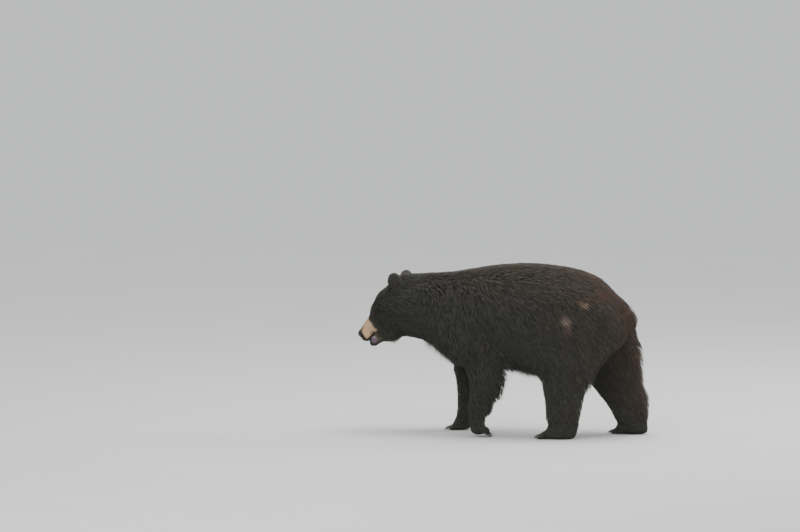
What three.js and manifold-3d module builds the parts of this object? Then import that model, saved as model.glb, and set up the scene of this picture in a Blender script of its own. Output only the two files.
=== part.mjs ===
// A life-size American black bear, walking slowly with its head low.
// Millimetres, +Z up. The bear faces -X and its left side is -Y; it stands on z = 0.
//
// The body is one smooth solid: a trunk swept through a few cross sections, with limbs, head and paws
// grown onto it as round cones that melt into each other. The surface is the outline of the coat's tips.
// That solid is parted into its named pieces with thin flat cuts.

import * as THREE from "three";
import { mergeVertices } from "three/addons/utils/BufferGeometryUtils.js";
import Module from "manifold-3d";

const wasm = await Module();
wasm.setup();

// ---------------------------------------------------------------- driving dimensions

const CUT_GAP = 0.3; // between two pieces of the body
const SHORTEST_EDGE = 0.004; // the cuts leave shorter ones, which are closed up
const LEFT = -1; // sign of y on the bear's left side
const RIGHT = 1;
const SIDE_NAMES = { [LEFT]: "left", [RIGHT]: "right" };

// Cross sections of neck and trunk: place along the body, top, bottom and half width of the coat.
const TRUNK_SECTIONS = [
  { x: -500, top: 806, bottom: 492, half: 128 },
  { x: -420, top: 824, bottom: 474, half: 146 },
  { x: -340, top: 829, bottom: 432, half: 166 },
  { x: -250, top: 836, bottom: 356, half: 188 },
  { x: -120, top: 861, bottom: 374, half: 208 },
  { x: 20, top: 879, bottom: 352, half: 222 },
  { x: 150, top: 882, bottom: 315, half: 230 },
  { x: 300, top: 871, bottom: 320, half: 224 },
  { x: 420, top: 845, bottom: 370, half: 206 },
  { x: 514, top: 796, bottom: 420, half: 174 },
  { x: 572, top: 716, bottom: 470, half: 130 },
];
const TRUNK_END_ROUNDING = 50;
const TRUNK_SQUARENESS = 2.2; // 2 makes the sections ellipses

// Head: its own frame starts between the ears; forward runs to the nose, up to the forehead.
const HEAD_START = [-520, 0, 690];
const HEAD_PITCH = 49; // degrees below level
const HEAD_YAW = 8; // degrees, towards the bear's right
const NOSE_FORWARD = 320;
const MOUTH_CORNER = 243;
const MOUTH_GAPE = 11; // between the lips at the front
const EYE_RADIUS = 9.5;
const EYE_PLACE = { forward: 170, side: 46, up: 73 };
const EAR_RADIUS = 40;
const EAR_PLACE = { forward: -56, side: 88, up: 88 };
const LEFT_EAR_FACING = [-0.12, -0.98, 0.12]; // turned out to the side
const RIGHT_EAR_FACING = [-0.62, 0.77, 0.12];

// Joints of the legs, each as [x, distance from the middle, z].
const SHOULDER_TOP = [-170, 92, 735];
const LEFT_FORE = { shoulder: [-226, 122, 556], elbow: [-74, 148, 350], wrist: [-120, 142, 112] };
const RIGHT_FORE = { shoulder: [-256, 122, 530], elbow: [-216, 148, 348], wrist: [-232, 142, 92] };
const LEFT_HIND = {
  hip: [420, 102, 600], knee: [284, 152, 400], hock: [324, 142, 120],
  calfTop: [418, 124, 400], calfEnd: [360, 142, 180],
};
const RIGHT_HIND = {
  hip: [452, 102, 600], knee: [420, 152, 396], hock: [620, 138, 128],
  calfTop: [590, 116, 432], calfEnd: [668, 136, 170],
};

// Paws.
const FOREPAW = { length: 118, halfWidth: 50, toes: 5, toeSpacing: 20.5, toeRadius: 14, claw: 32 };
const HINDPAW = { length: 196, halfWidth: 48, toes: 5, toeSpacing: 20, toeRadius: 14, claw: 22 };
const SOLE_TRIM = 4; // how far the round pads are flattened on the floor

// Cell sizes of the surface, finer where the shapes are smaller.
const CELL = {
  trunk: [82, 60, 70],
  leg: [42, 40, 60],
  tail: [22, 20, 24],
  head: [40, 40, 40],
  face: [25, 25, 25],
  muzzle: [16, 16, 16],
  ear: [12, 12, 12],
  paw: [44, 32, 26],
  nose: [11, 11, 11],
  tongue: [10, 8, 10],
};

// ---------------------------------------------------------------- small vector helpers

const add = (a, b) => [a[0] + b[0], a[1] + b[1], a[2] + b[2]];
const subtract = (a, b) => [a[0] - b[0], a[1] - b[1], a[2] - b[2]];
const times = (a, k) => [a[0] * k, a[1] * k, a[2] * k];
const dot = (a, b) => a[0] * b[0] + a[1] * b[1] + a[2] * b[2];
const cross = (a, b) => [
  a[1] * b[2] - a[2] * b[1],
  a[2] * b[0] - a[0] * b[2],
  a[0] * b[1] - a[1] * b[0],
];
const unit = (a) => times(a, 1 / Math.hypot(...a));
const mix = (a, b, t) => a + (b - a) * t;
const mixPoints = (a, b, t) => [mix(a[0], b[0], t), mix(a[1], b[1], t), mix(a[2], b[2], t)];
const onSide = (point, side) => [point[0], point[1] * side, point[2]];

// A frame of three directions at a point; place() turns its own measures into a point of the model.
function frame(start, forward, up) {
  const side = unit(cross(forward, up));
  return {
    start,
    forward,
    side,
    up,
    place: (f, s, u) => add(add(add(start, times(forward, f)), times(side, s)), times(up, u)),
    turn: (f, s, u) => unit(add(add(times(forward, f), times(side, s)), times(up, u))),
  };
}

// ---------------------------------------------------------------- rounded shapes that melt together

// A round cone between two points, squashed by `flat` along the direction `across`.
function lump(from, to, fromRadius, toRadius, blend, flat = 1, across = [0, 1, 0]) {
  const axis = subtract(to, from);
  const lengthSquared = Math.max(dot(axis, axis), 1e-6);
  const stretch = 1 / flat - 1;
  const value = (x, y, z) => {
    const px = x - from[0];
    const py = y - from[1];
    const pz = z - from[2];
    const along = (px * axis[0] + py * axis[1] + pz * axis[2]) / lengthSquared;
    const t = Math.min(Math.max(along, 0), 1);
    const radius = fromRadius + (toRadius - fromRadius) * t;
    const qx = px - axis[0] * t;
    const qy = py - axis[1] * t;
    const qz = pz - axis[2] * t;
    const squash = (qx * across[0] + qy * across[1] + qz * across[2]) * stretch;
    const sx = qx + squash * across[0];
    const sy = qy + squash * across[1];
    const sz = qz + squash * across[2];
    const plain = Math.hypot(qx, qy, qz);
    const stretched = Math.hypot(sx, sy, sz);
    return stretched > 1e-6 ? ((stretched - radius) * plain) / stretched : -radius * Math.min(flat, 1);
  };
  return { value, blend };
}

// The smaller of two distances, rounded off where they are close.
function melt(a, b, blend) {
  const near = Math.max(blend - Math.abs(a - b), 0) / blend;
  return Math.min(a, b) - (near * near * blend) / 4;
}

function meltAll(lumps) {
  return (x, y, z) => {
    let distance = lumps[0].value(x, y, z);
    for (let i = 1; i < lumps.length; i++) {
      distance = melt(distance, lumps[i].value(x, y, z), lumps[i].blend);
    }
    return distance;
  };
}

// Smooth value between the trunk's sections.
function between(sections, key, index, t) {
  const last = sections.length - 1;
  const at = (i) => sections[Math.min(Math.max(i, 0), last)][key];
  const p0 = at(index - 1);
  const p1 = at(index);
  const p2 = at(index + 1);
  const p3 = at(index + 2);
  const slope1 = (p2 - p0) / 2;
  const slope2 = (p3 - p1) / 2;
  const t2 = t * t;
  const t3 = t2 * t;
  return (2 * t3 - 3 * t2 + 1) * p1 + (t3 - 2 * t2 + t) * slope1 + (3 * t2 - 2 * t3) * p2 + (t3 - t2) * slope2;
}

function trunkLump() {
  const first = TRUNK_SECTIONS[0].x;
  const final = TRUNK_SECTIONS[TRUNK_SECTIONS.length - 1].x;
  const round = TRUNK_END_ROUNDING;
  const value = (x, y, z) => {
    const inX = Math.min(Math.max(x, first), final);
    let index = 0;
    while (index < TRUNK_SECTIONS.length - 2 && TRUNK_SECTIONS[index + 1].x < inX) index++;
    const left = TRUNK_SECTIONS[index].x;
    const t = (inX - left) / (TRUNK_SECTIONS[index + 1].x - left);
    const top = between(TRUNK_SECTIONS, "top", index, t);
    const bottom = between(TRUNK_SECTIONS, "bottom", index, t);
    const half = between(TRUNK_SECTIONS, "half", index, t);
    const tall = (top - bottom) / 2;
    const up = z - (top + bottom) / 2;
    const power = TRUNK_SQUARENESS;
    const flatness = Math.pow(Math.abs(y) / half, power) + Math.pow(Math.abs(up) / tall, power);
    const ratio = Math.pow(flatness, 1 / power);
    const reach = Math.hypot(y, up);
    const flatDistance = ratio > 1e-6 ? reach - reach / ratio : -Math.min(half, tall);
    const beyond = x - inX;
    return Math.hypot(Math.max(flatDistance + round, 0), beyond) - round + Math.min(flatDistance + round, 0);
  };
  return { value, blend: 60 };
}

// ---------------------------------------------------------------- body plan

const headYaw = THREE.MathUtils.degToRad(HEAD_YAW);
const headPitch = THREE.MathUtils.degToRad(HEAD_PITCH);
const levelForward = [-Math.cos(headYaw), Math.sin(headYaw), 0];
const headForward = add(times(levelForward, Math.cos(headPitch)), [0, 0, -Math.sin(headPitch)]);
const headUp = add(times(levelForward, Math.sin(headPitch)), [0, 0, Math.cos(headPitch)]);
const head = frame(HEAD_START, headForward, headUp);

function headLump(from, to, fromRadius, toRadius, blend, flat = 1) {
  return lump(head.place(...from), head.place(...to), fromRadius, toRadius, blend, flat, head.side);
}

function headLumps() {
  const lumps = [
    headLump([-15, 0, 22], [75, 0, 30], 94, 88, 60, 1.02), // braincase
    headLump([95, 0, 46], [148, 0, 54], 72, 50, 45, 1.08), // forehead
    headLump([180, 0, 44], [287, 0, 47], 46, 30, 22, 1.06), // bridge of the muzzle
    headLump([110, 0, -52], [205, 0, -48], 72, 42, 40, 1.0), // floor of the jaw
    headLump([186, 0, -78], [208, 0, -112], 34, 20, 22, 1.0), // tuft under the jaw
    headLump([205, 0, -34], [293, 0, -20], 34, 21.5, 14, 1.12), // chin and lower lip
  ];
  for (const side of [LEFT, RIGHT]) {
    lumps.push(
      headLump([70, side * 60, 2], [132, side * 44, -6], 60, 46, 42, 0.9), // cheek
      headLump([212, side * 20, 22], [300, side * 13, 26], 29, 20.5, 12, 1.0), // upper lip
      headLump([146, side * 36, 84], [160, side * 36, 80], 22, 19, 18, 1.0), // brow
    );
  }
  return lumps;
}

function noseLump() {
  return headLump([299, 0, 60], [303, 0, 58], 18.5, 18.5, 6, 1.3);
}

// Each ear is a cupped disc that stands on the back corner of the skull, its hollow facing out and forward.
function earFrame(side) {
  const upward = unit([0.12, side * 0.26, 0.95]);
  const facing = unit(side === LEFT ? LEFT_EAR_FACING : RIGHT_EAR_FACING);
  const forward = unit(subtract(facing, times(upward, dot(facing, upward))));
  return frame(head.place(EAR_PLACE.forward, side * EAR_PLACE.side, EAR_PLACE.up), forward, upward);
}

function earShape(side) {
  const ear = earFrame(side);
  const disc = lump(ear.place(0, 0, -8), ear.place(0, 0, 2), EAR_RADIUS, EAR_RADIUS - 2, 1, 0.38, ear.forward);
  const root = lump(ear.place(-4, 0, -34), ear.place(-3, 0, -18), 30, 30, 16, 0.7, ear.forward);
  const bowl = lump(ear.place(21, 0, -2), ear.place(21, 0, 4), 26, 24, 1, 0.6, ear.forward);
  const solid = meltAll([disc, root]);
  return (x, y, z) => -melt(-solid(x, y, z), bowl.value(x, y, z), 10);
}

function forelegLumps(side, joints) {
  const top = onSide(SHOULDER_TOP, side);
  const shoulder = onSide(joints.shoulder, side);
  const elbow = onSide(joints.elbow, side);
  const wrist = onSide(joints.wrist, side);
  const fringeTop = add(elbow, [46, 0, -36]);
  const fringeEnd = add(elbow, [52, 0, -126]);
  const cuff = add(wrist, [38, 0, 26]);
  return [
    lump(top, shoulder, 74, 104, 80, 0.72),
    lump(shoulder, elbow, 104, 80, 70, 0.72),
    lump(elbow, wrist, 72, 50, 50, 0.86),
    lump(fringeTop, fringeEnd, 68, 55, 26, 0.6),
    lump(cuff, add(wrist, [16, 0, -10]), 45, 34, 20, 0.85),
  ];
}

function hindlegLumps(side, joints) {
  const hip = onSide(joints.hip, side);
  const knee = onSide(joints.knee, side);
  const hock = onSide(joints.hock, side);
  const calfTop = onSide(joints.calfTop, side);
  const calfEnd = onSide(joints.calfEnd, side);
  const seat = [540, side * 90, 556];
  return [
    lump(hip, knee, 150, 96, 80, 0.62),
    lump(knee, hock, 90, 78, 55, 0.72),
    lump(hock, add(hock, [12, 0, -62]), 78, 66, 30, 0.74),
    lump(seat, calfTop, 104, 92, 70, 0.72),
    lump(calfTop, calfEnd, 92, 62, 55, 0.62),
    lump(calfEnd, add(calfEnd, [6, 0, -96]), 58, 46, 26, 0.7),
  ];
}

// A paw in its own frame: forward to the toes, up to the back of the paw.
function pawLumps({ frame: paw, size }) {
  const heel = paw.place(30, 0, 31);
  const arch = paw.place(size.length * 0.46, 0, 35);
  const ball = paw.place(size.length - 44, 0, 23);
  return [
    lump(heel, arch, 31, 35, 26, 1.15, paw.side),
    lump(arch, ball, 35, 24, 20, size.halfWidth / 26, paw.side),
  ];
}

function toeTip({ frame: paw, spread, size }, toe) {
  const out = toe - (size.toes - 1) / 2;
  const back = 2.6 * out * out;
  const forward = size.length - size.toeRadius - back;
  return paw.place(forward, out * size.toeSpacing * spread, size.toeRadius - 1);
}

function toeRoot({ frame: paw, spread, size }, toe) {
  const out = toe - (size.toes - 1) / 2;
  return paw.place(size.length - 54, out * size.toeSpacing * 0.84 * spread, size.toeRadius + 9);
}

// ---------------------------------------------------------------- the four feet

function flatPaw(heelX, y, turnedIn) {
  const turn = THREE.MathUtils.degToRad(turnedIn) * Math.sign(y);
  return frame([heelX, y, -SOLE_TRIM], [-Math.cos(turn), -Math.sin(turn), 0], [0, 0, 1]);
}

// The left forepaw has just left the ground: its sole is turned to the rear and the claws hang over the floor.
const TRAILING_TILT = THREE.MathUtils.degToRad(132);
const trailingForward = [-Math.cos(TRAILING_TILT), 0, -Math.sin(TRAILING_TILT)];
const trailingUp = [-Math.sin(TRAILING_TILT), 0, Math.cos(TRAILING_TILT)];

const PAWS = {
  forepaw_left: {
    frame: frame([-124, -142, 110], trailingForward, trailingUp),
    size: FOREPAW,
    spread: 0.9,
  },
  forepaw_right: { frame: flatPaw(-205, 142, 4), size: FOREPAW, spread: 1.05 },
  hindpaw_left: { frame: flatPaw(388, -142, -4), size: HINDPAW, spread: 1 },
  hindpaw_right: { frame: flatPaw(722, 138, -4), size: HINDPAW, spread: 1 },
};

const bodyLumps = [
  trunkLump(),
  ...headLumps(),
  ...forelegLumps(LEFT, LEFT_FORE),
  ...forelegLumps(RIGHT, RIGHT_FORE),
  ...hindlegLumps(LEFT, LEFT_HIND),
  ...hindlegLumps(RIGHT, RIGHT_HIND),
];
for (const paw of Object.values(PAWS)) bodyLumps.push(...pawLumps(paw));
bodyLumps.push(noseLump());

// Below 0 inside the bear.
const body = meltAll(bodyLumps);

// The short tail hangs down against the back of the rump.
function rearOfRump(z) {
  let x = 400;
  while (body(x, 0, z) < 0) x += 1;
  return x;
}
const TAIL_TOP = 672;
const TAIL_LENGTH = 112;
const alongTail = (share, out) => {
  const z = TAIL_TOP - share * TAIL_LENGTH;
  return [rearOfRump(z) + out, 0, z];
};
const tailRoot = lump(alongTail(0, -10), alongTail(0.5, 2), 29, 26, 1, 0.9);
const tailEnd = lump(alongTail(0.5, 2), alongTail(1, 4), 26, 21, 10, 0.9);
const tail = meltAll([tailRoot, tailEnd]);

// ---------------------------------------------------------------- from distance to a closed mesh

// Corner n of a cell lies at x = bit 0, y = bit 1 and z = bit 2 of n.
const CORNERS = Array.from({ length: 8 }, (_, n) => [n & 1, (n >> 1) & 1, (n >> 2) & 1]);
const CELL_EDGES = [
  [0, 1], [2, 3], [4, 5], [6, 7],
  [0, 2], [1, 3], [4, 6], [5, 7],
  [0, 4], [1, 5], [2, 6], [3, 7],
];
const CELL_FACES = [
  [0, 1, 3, 2], [4, 5, 7, 6], [0, 1, 5, 4], [2, 3, 7, 6], [0, 2, 6, 4], [1, 3, 7, 5],
];
const edgeBetween = (a, b) => CELL_EDGES.findIndex(([p, q]) => p === Math.min(a, b) && q === Math.max(a, b));
const FACE_EDGES = CELL_FACES.map((face) => face.map((corner, n) => edgeBetween(corner, face[(n + 1) % 4])));

// The four cells around a grid edge along x, y and z: their offsets, and which of their edges it is.
const AROUND = [
  [[0, -1, -1, 3], [0, 0, -1, 2], [0, 0, 0, 0], [0, -1, 0, 1]],
  [[-1, 0, -1, 7], [-1, 0, 0, 5], [0, 0, 0, 4], [0, 0, -1, 6]],
  [[-1, -1, 0, 11], [0, -1, 0, 10], [0, 0, 0, 8], [-1, 0, 0, 9]],
];

// Sorts the crossed edges of a cell into the separate sheets of the surface that pass through it.
function sheetsOf(inside) {
  const joined = CELL_EDGES.map((_, n) => n);
  const root = (n) => (joined[n] === n ? n : root(joined[n]));
  CELL_FACES.forEach((face, f) => {
    const crossed = FACE_EDGES[f].filter((_, n) => inside[face[n]] !== inside[face[(n + 1) % 4]]);
    if (crossed.length === 2) joined[root(crossed[0])] = root(crossed[1]);
    if (crossed.length < 4) return;
    face.forEach((corner, n) => {
      if (inside[corner]) joined[root(FACE_EDGES[f][(n + 3) % 4])] = root(FACE_EDGES[f][n]);
    });
  });
  const sheets = new Map();
  CELL_EDGES.forEach(([a, b], n) => {
    if (inside[a] === inside[b]) return;
    if (!sheets.has(root(n))) sheets.set(root(n), []);
    sheets.get(root(n)).push(n);
  });
  return [...sheets.values()];
}

// Puts one vertex on each sheet in a cell and joins the vertices around every crossed grid edge.
function closedSurface(value, low, high, cell) {
  const count = [0, 1, 2].map((i) => Math.ceil((high[i] - low[i]) / cell[i]) + 1);
  const at = (i, j, k) => i + count[0] * (j + count[1] * k);
  const samples = new Float64Array(count[0] * count[1] * count[2]);
  for (let k = 0; k < count[2]; k++) {
    for (let j = 0; j < count[1]; j++) {
      for (let i = 0; i < count[0]; i++) {
        samples[at(i, j, k)] = value(low[0] + i * cell[0], low[1] + j * cell[1], low[2] + k * cell[2]);
      }
    }
  }
  const positions = [];
  const vertexOn = new Map();
  for (let k = 0; k < count[2] - 1; k++) {
    for (let j = 0; j < count[1] - 1; j++) {
      for (let i = 0; i < count[0] - 1; i++) {
        const corner = CORNERS.map((c) => samples[at(i + c[0], j + c[1], k + c[2])]);
        for (const sheet of sheetsOf(corner.map((v) => v < 0))) {
          let middle = [0, 0, 0];
          for (const edge of sheet) {
            const [a, b] = CELL_EDGES[edge];
            const t = corner[a] / (corner[a] - corner[b]);
            middle = add(middle, times(mixPoints(CORNERS[a], CORNERS[b], t), 1 / sheet.length));
            vertexOn.set(at(i, j, k) * CELL_EDGES.length + edge, positions.length / 3);
          }
          const place = [i, j, k].map((n, axis) => low[axis] + (n + middle[axis]) * cell[axis]);
          positions.push(...settle(value, place, Math.min(...cell)));
        }
      }
    }
  }
  const triangles = [];
  for (let k = 1; k < count[2] - 1; k++) {
    for (let j = 1; j < count[1] - 1; j++) {
      for (let i = 1; i < count[0] - 1; i++) {
        const here = samples[at(i, j, k)] < 0;
        const next = [at(i + 1, j, k), at(i, j + 1, k), at(i, j, k + 1)];
        for (let axis = 0; axis < 3; axis++) {
          if (here === samples[next[axis]] < 0) continue;
          const ring = AROUND[axis].map(([di, dj, dk, edge]) =>
            vertexOn.get(at(i + di, j + dj, k + dk) * CELL_EDGES.length + edge),
          );
          if (!here) ring.reverse();
          triangles.push(...splitQuad(positions, ring));
        }
      }
    }
  }
  const geometry = new THREE.BufferGeometry();
  geometry.setAttribute("position", new THREE.Float32BufferAttribute(positions, 3));
  geometry.setIndex(triangles);
  return geometry;
}

// Moves a vertex onto the surface, at most half a cell.
function settle(value, start, cell) {
  const step = cell * 0.05;
  let point = start;
  for (let turn = 0; turn < 3; turn++) {
    const [x, y, z] = point;
    const here = value(x, y, z);
    const slope = [
      (value(x + step, y, z) - value(x - step, y, z)) / (2 * step),
      (value(x, y + step, z) - value(x, y - step, z)) / (2 * step),
      (value(x, y, z + step) - value(x, y, z - step)) / (2 * step),
    ];
    const steep = Math.max(dot(slope, slope), 0.05);
    const next = subtract(point, times(slope, here / steep));
    if (Math.hypot(...subtract(next, start)) > cell * 0.5) break;
    point = next;
  }
  return point;
}

function splitQuad(positions, [a, b, c, d]) {
  const point = (n) => [positions[3 * n], positions[3 * n + 1], positions[3 * n + 2]];
  const first = Math.hypot(...subtract(point(a), point(c)));
  const second = Math.hypot(...subtract(point(b), point(d)));
  return first < second ? [a, b, c, a, c, d] : [a, b, d, b, c, d];
}

// ---------------------------------------------------------------- solids, cuts and meshes

function solidOf(geometry) {
  const bare = geometry.clone();
  for (const name of ["normal", "uv"]) bare.deleteAttribute(name);
  const merged = mergeVertices(bare, 1e-4);
  const vertProperties = new Float32Array(merged.attributes.position.array);
  const triVerts = new Uint32Array(merged.index.array);
  return new wasm.Manifold(new wasm.Mesh({ numProp: 3, vertProperties, triVerts }));
}

// The mesh of a solid, with the ends of every very short edge made one.
function geometryOf(solid) {
  const { vertProperties, triVerts } = solid.getMesh();
  const point = (n) => [vertProperties[3 * n], vertProperties[3 * n + 1], vertProperties[3 * n + 2]];
  const joined = Array.from({ length: vertProperties.length / 3 }, (_, n) => n);
  const root = (n) => (joined[n] === n ? n : root(joined[n]));
  for (let i = 0; i < triVerts.length; i++) {
    const a = root(triVerts[i]);
    const b = root(triVerts[i % 3 === 2 ? i - 2 : i + 1]);
    const length = Math.hypot(...subtract(point(a), point(b)));
    if (a !== b && length < SHORTEST_EDGE) joined[Math.max(a, b)] = Math.min(a, b);
  }
  const faces = new Map();
  for (let i = 0; i < triVerts.length; i += 3) {
    const corners = [root(triVerts[i]), root(triVerts[i + 1]), root(triVerts[i + 2])];
    if (new Set(corners).size < 3) continue;
    const key = [...corners].sort((a, b) => a - b).join();
    if (faces.has(key)) faces.delete(key);
    else faces.set(key, corners);
  }
  const geometry = new THREE.BufferGeometry();
  geometry.setAttribute("position", new THREE.BufferAttribute(vertProperties, 3));
  geometry.setIndex([...faces.values()].flat());
  const welded = solidOf(geometry).getMesh();
  geometry.setAttribute("position", new THREE.BufferAttribute(welded.vertProperties, 3));
  geometry.setIndex(new THREE.BufferAttribute(welded.triVerts, 1));
  geometry.computeVertexNormals();
  return geometry;
}

// A flat cut through a point. It keeps the side that its direction points to, and behind() the other side.
function cut(point, direction) {
  const normal = unit(direction);
  return { normal, offset: dot(point, normal) };
}
const behind = (plane) => ({ normal: times(plane.normal, -1), offset: -plane.offset });

const headCut = cut([-485, 0, 651], [-0.967, 0, 0.2545]);
const neckCut = cut([-280, 0, 632], [-0.956, 0, 0.2925]);
const chestCut = cut([18, 0, 600], [-1, 0, 0]);
const bellyCut = cut([322, 0, 600], [-1, 0, 0]);
const middleCut = cut([0, 0, 0], [0, -1, 0]);
const elbowCut = cut([0, 0, 330], [0, 0, -1]);
const kneeCut = cut([0, 0, 262], [0, 0, -1]);
const thighFrontCut = cut([182, 0, 400], [1, 0, 0.12]);
const shoulderCut = {
  [LEFT]: cut([0, -118, 600], [0, -0.94, -0.34]),
  [RIGHT]: cut([0, 118, 600], [0, 0.94, -0.34]),
};
const thighCut = {
  [LEFT]: cut([0, -112, 560], [0, -0.94, -0.34]),
  [RIGHT]: cut([0, 112, 560], [0, 0.94, -0.34]),
};
const wristCut = {
  [LEFT]: cut([-122, 0, 112], [0.3, 0, -0.95]),
  [RIGHT]: cut([-225, 0, 72], [-0.12, 0, -1]),
};
const ankleCut = {
  [LEFT]: cut([345, 0, 84], [-0.1, 0, -1]),
  [RIGHT]: cut([640, 0, 84], [-0.1, 0, -1]),
};
const browCut = cut(head.place(124, 0, 40), head.forward);
const faceCut = cut(head.place(203, 0, 0), head.turn(1, 0, 0.2));
const mouthCut = cut(head.place(MOUTH_CORNER, 0, 2), head.up);
const GAPE_SLOPE = Math.atan2(MOUTH_GAPE / 2, NOSE_FORWARD - MOUTH_CORNER);
const mouthCorner = head.place(MOUTH_CORNER, 0, 2);
const upperLipCut = cut(mouthCorner, head.turn(-Math.sin(GAPE_SLOPE), 0, Math.cos(GAPE_SLOPE)));
const lowerLipCut = cut(mouthCorner, head.turn(-Math.sin(GAPE_SLOPE), 0, -Math.cos(GAPE_SLOPE)));
const noseCut = cut(head.place(303, 0, 60), head.turn(1, 0, 0.25));
const noseFloorCut = cut(head.place(303, 0, 40), head.turn(-0.1, 0, 1));

// Box around the whole bear, and around the part of it on the named side of each cut.
const BODY_LOW = [-880, -340, -100];
const BODY_HIGH = [850, 340, 980];
const SURVEY_STEP = 14;

function surveyBox(cuts) {
  const low = [...BODY_HIGH];
  const high = [...BODY_LOW];
  for (let x = BODY_LOW[0]; x <= BODY_HIGH[0]; x += SURVEY_STEP) {
    for (let y = BODY_LOW[1]; y <= BODY_HIGH[1]; y += SURVEY_STEP) {
      for (let z = BODY_LOW[2]; z <= BODY_HIGH[2]; z += SURVEY_STEP) {
        const outside = cuts.some((c) => x * c.normal[0] + y * c.normal[1] + z * c.normal[2] < c.offset);
        if (outside || body(x, y, z) > 0) continue;
        const point = [x, y, z];
        for (let i = 0; i < 3; i++) {
          low[i] = Math.min(low[i], point[i]);
          high[i] = Math.max(high[i], point[i]);
        }
      }
    }
  }
  return { low, high };
}

// The trunk is one mesh and the legs another, parted by cuts that stop a little short of each other.
const trunkMesh = closedSolid(body, BODY_LOW, BODY_HIGH, CELL.trunk);
const LEG_TOP = 420;
const belowLegTop = (x, y, z) => Math.max(body(x, y, z), z - LEG_TOP);
const legMesh = closedSolid(belowLegTop, BODY_LOW, [BODY_HIGH[0], BODY_HIGH[1], LEG_TOP + 120], CELL.leg);

function partOf(mesh, cuts) {
  return largestPart(trimmed(mesh, cuts, CUT_GAP / 2));
}

function trimmed(solid, cuts, short) {
  return cuts.reduce((rest, { normal, offset }) => rest.trimByPlane(normal, offset + short), solid);
}

// All the space on the named side of each cut, with the gap around it, to take a piece out of its neighbour.
function room(cuts) {
  return trimmed(solidOf(new THREE.BoxGeometry(3000, 3000, 3000)), cuts, -CUT_GAP / 2);
}

// A finer mesh of the part of the body on the named side of each cut.
function fineBody(cell, cuts) {
  const { low, high } = surveyBox(cuts);
  const start = low.map((v, axis) => v - 3 * cell[axis] - SURVEY_STEP);
  const end = high.map((v, axis) => v + 3 * cell[axis] + SURVEY_STEP);
  const overlap = 1.2 * Math.max(...cell);
  const value = (x, y, z) => {
    const point = [x, y, z];
    let distance = body(x, y, z);
    for (let axis = 0; axis < 3; axis++) {
      const inside = Math.min(point[axis] - start[axis], end[axis] - point[axis]) - 1.6 * cell[axis];
      distance = Math.max(distance, -inside);
    }
    for (const { normal, offset } of cuts) {
      const past = offset - (x * normal[0] + y * normal[1] + z * normal[2]) - overlap;
      distance = Math.max(distance, past);
    }
    return distance;
  };
  const solid = closedSolid(value, start, end, cell).trimByPlane([0, 0, 1], 0);
  return largestPart(trimmed(solid, cuts, CUT_GAP / 2));
}

// Two sheets of the surface may touch along an edge; a shifted grid parts them.
function pairedSurface(value, start, end, cell) {
  const shifts = 20;
  for (let i = 0; i < shifts; i++) {
    const shift = [0.37 * i, 0.61 * i, 0.23 * i].map((v, axis) => (v % 1) * cell[axis]);
    const geometry = closedSurface(value, subtract(start, shift), end, cell);
    if (edgesPaired(geometry.index.array)) return geometry;
  }
  throw new Error("the surface touches itself at this cell size");
}

function closedSolid(value, start, end, cell) {
  return solidOf(pairedSurface(value, start, end, cell));
}

function surfaceAround(value, middle, reach, cell) {
  return pairedSurface(value, add(middle, [-reach, -reach, -reach]), add(middle, [reach, reach, reach]), cell);
}

// The same surface pushed out by the gap, to make the hollow that a piece sits in.
function swollen(geometry) {
  const grown = geometry.clone();
  grown.computeVertexNormals();
  const { position, normal } = grown.attributes;
  for (let i = 0; i < position.count; i++) {
    const out = times([normal.getX(i), normal.getY(i), normal.getZ(i)], CUT_GAP * 1.4);
    position.setXYZ(i, position.getX(i) + out[0], position.getY(i) + out[1], position.getZ(i) + out[2]);
  }
  return solidOf(grown);
}

function edgesPaired(corners) {
  const uses = new Map();
  for (let i = 0; i < corners.length; i++) {
    const a = corners[i];
    const b = corners[i % 3 === 2 ? i - 2 : i + 1];
    const key = `${Math.min(a, b)}_${Math.max(a, b)}`;
    uses.set(key, (uses.get(key) ?? 0) + 1);
  }
  return [...uses.values()].every((count) => count === 2);
}

function largestPart(solid) {
  const parts = solid.decompose();
  parts.sort((a, b) => b.volume() - a.volume());
  return parts[0];
}

// ---------------------------------------------------------------- eyes, mouth, tongue and claws

function ball(centre, radius) {
  const geometry = new THREE.IcosahedronGeometry(radius, 1);
  geometry.translate(...centre);
  return solidOf(geometry);
}

function eyeCentre(side) {
  return head.place(EYE_PLACE.forward, side * EYE_PLACE.side, EYE_PLACE.up);
}

function eyeFacing(side) {
  return head.turn(0.55, side * 0.8, 0.24);
}

// The tongue lies on the floor of the open mouth.
function tongueSolid() {
  const floor = frame(
    mouthCorner,
    head.turn(Math.cos(GAPE_SLOPE), 0, -Math.sin(GAPE_SLOPE)),
    head.turn(Math.sin(GAPE_SLOPE), 0, Math.cos(GAPE_SLOPE)),
  );
  const value = lump(floor.place(24, 0, -1), floor.place(46, 0, 0), 12, 13, 1, 0.3, floor.up).value;
  const shape = solidOf(surfaceAround(value, floor.place(37, 0, 0), 40, CELL.tongue));
  return largestPart(trimmed(shape, [cut(floor.place(0, 0, CUT_GAP), floor.up)], CUT_GAP));
}

function toeSolid(paw, toe) {
  const tip = toeTip(paw, toe);
  const root = toeRoot(paw, toe);
  const run = new THREE.Vector3(...subtract(tip, root));
  const geometry = new THREE.CapsuleGeometry(paw.size.toeRadius, run.length(), 2, 6);
  const upright = new THREE.Vector3(0, 1, 0);
  geometry.applyQuaternion(new THREE.Quaternion().setFromUnitVectors(upright, run.normalize()));
  geometry.translate(...mixPoints(root, tip, 0.5));
  return solidOf(geometry);
}

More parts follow.
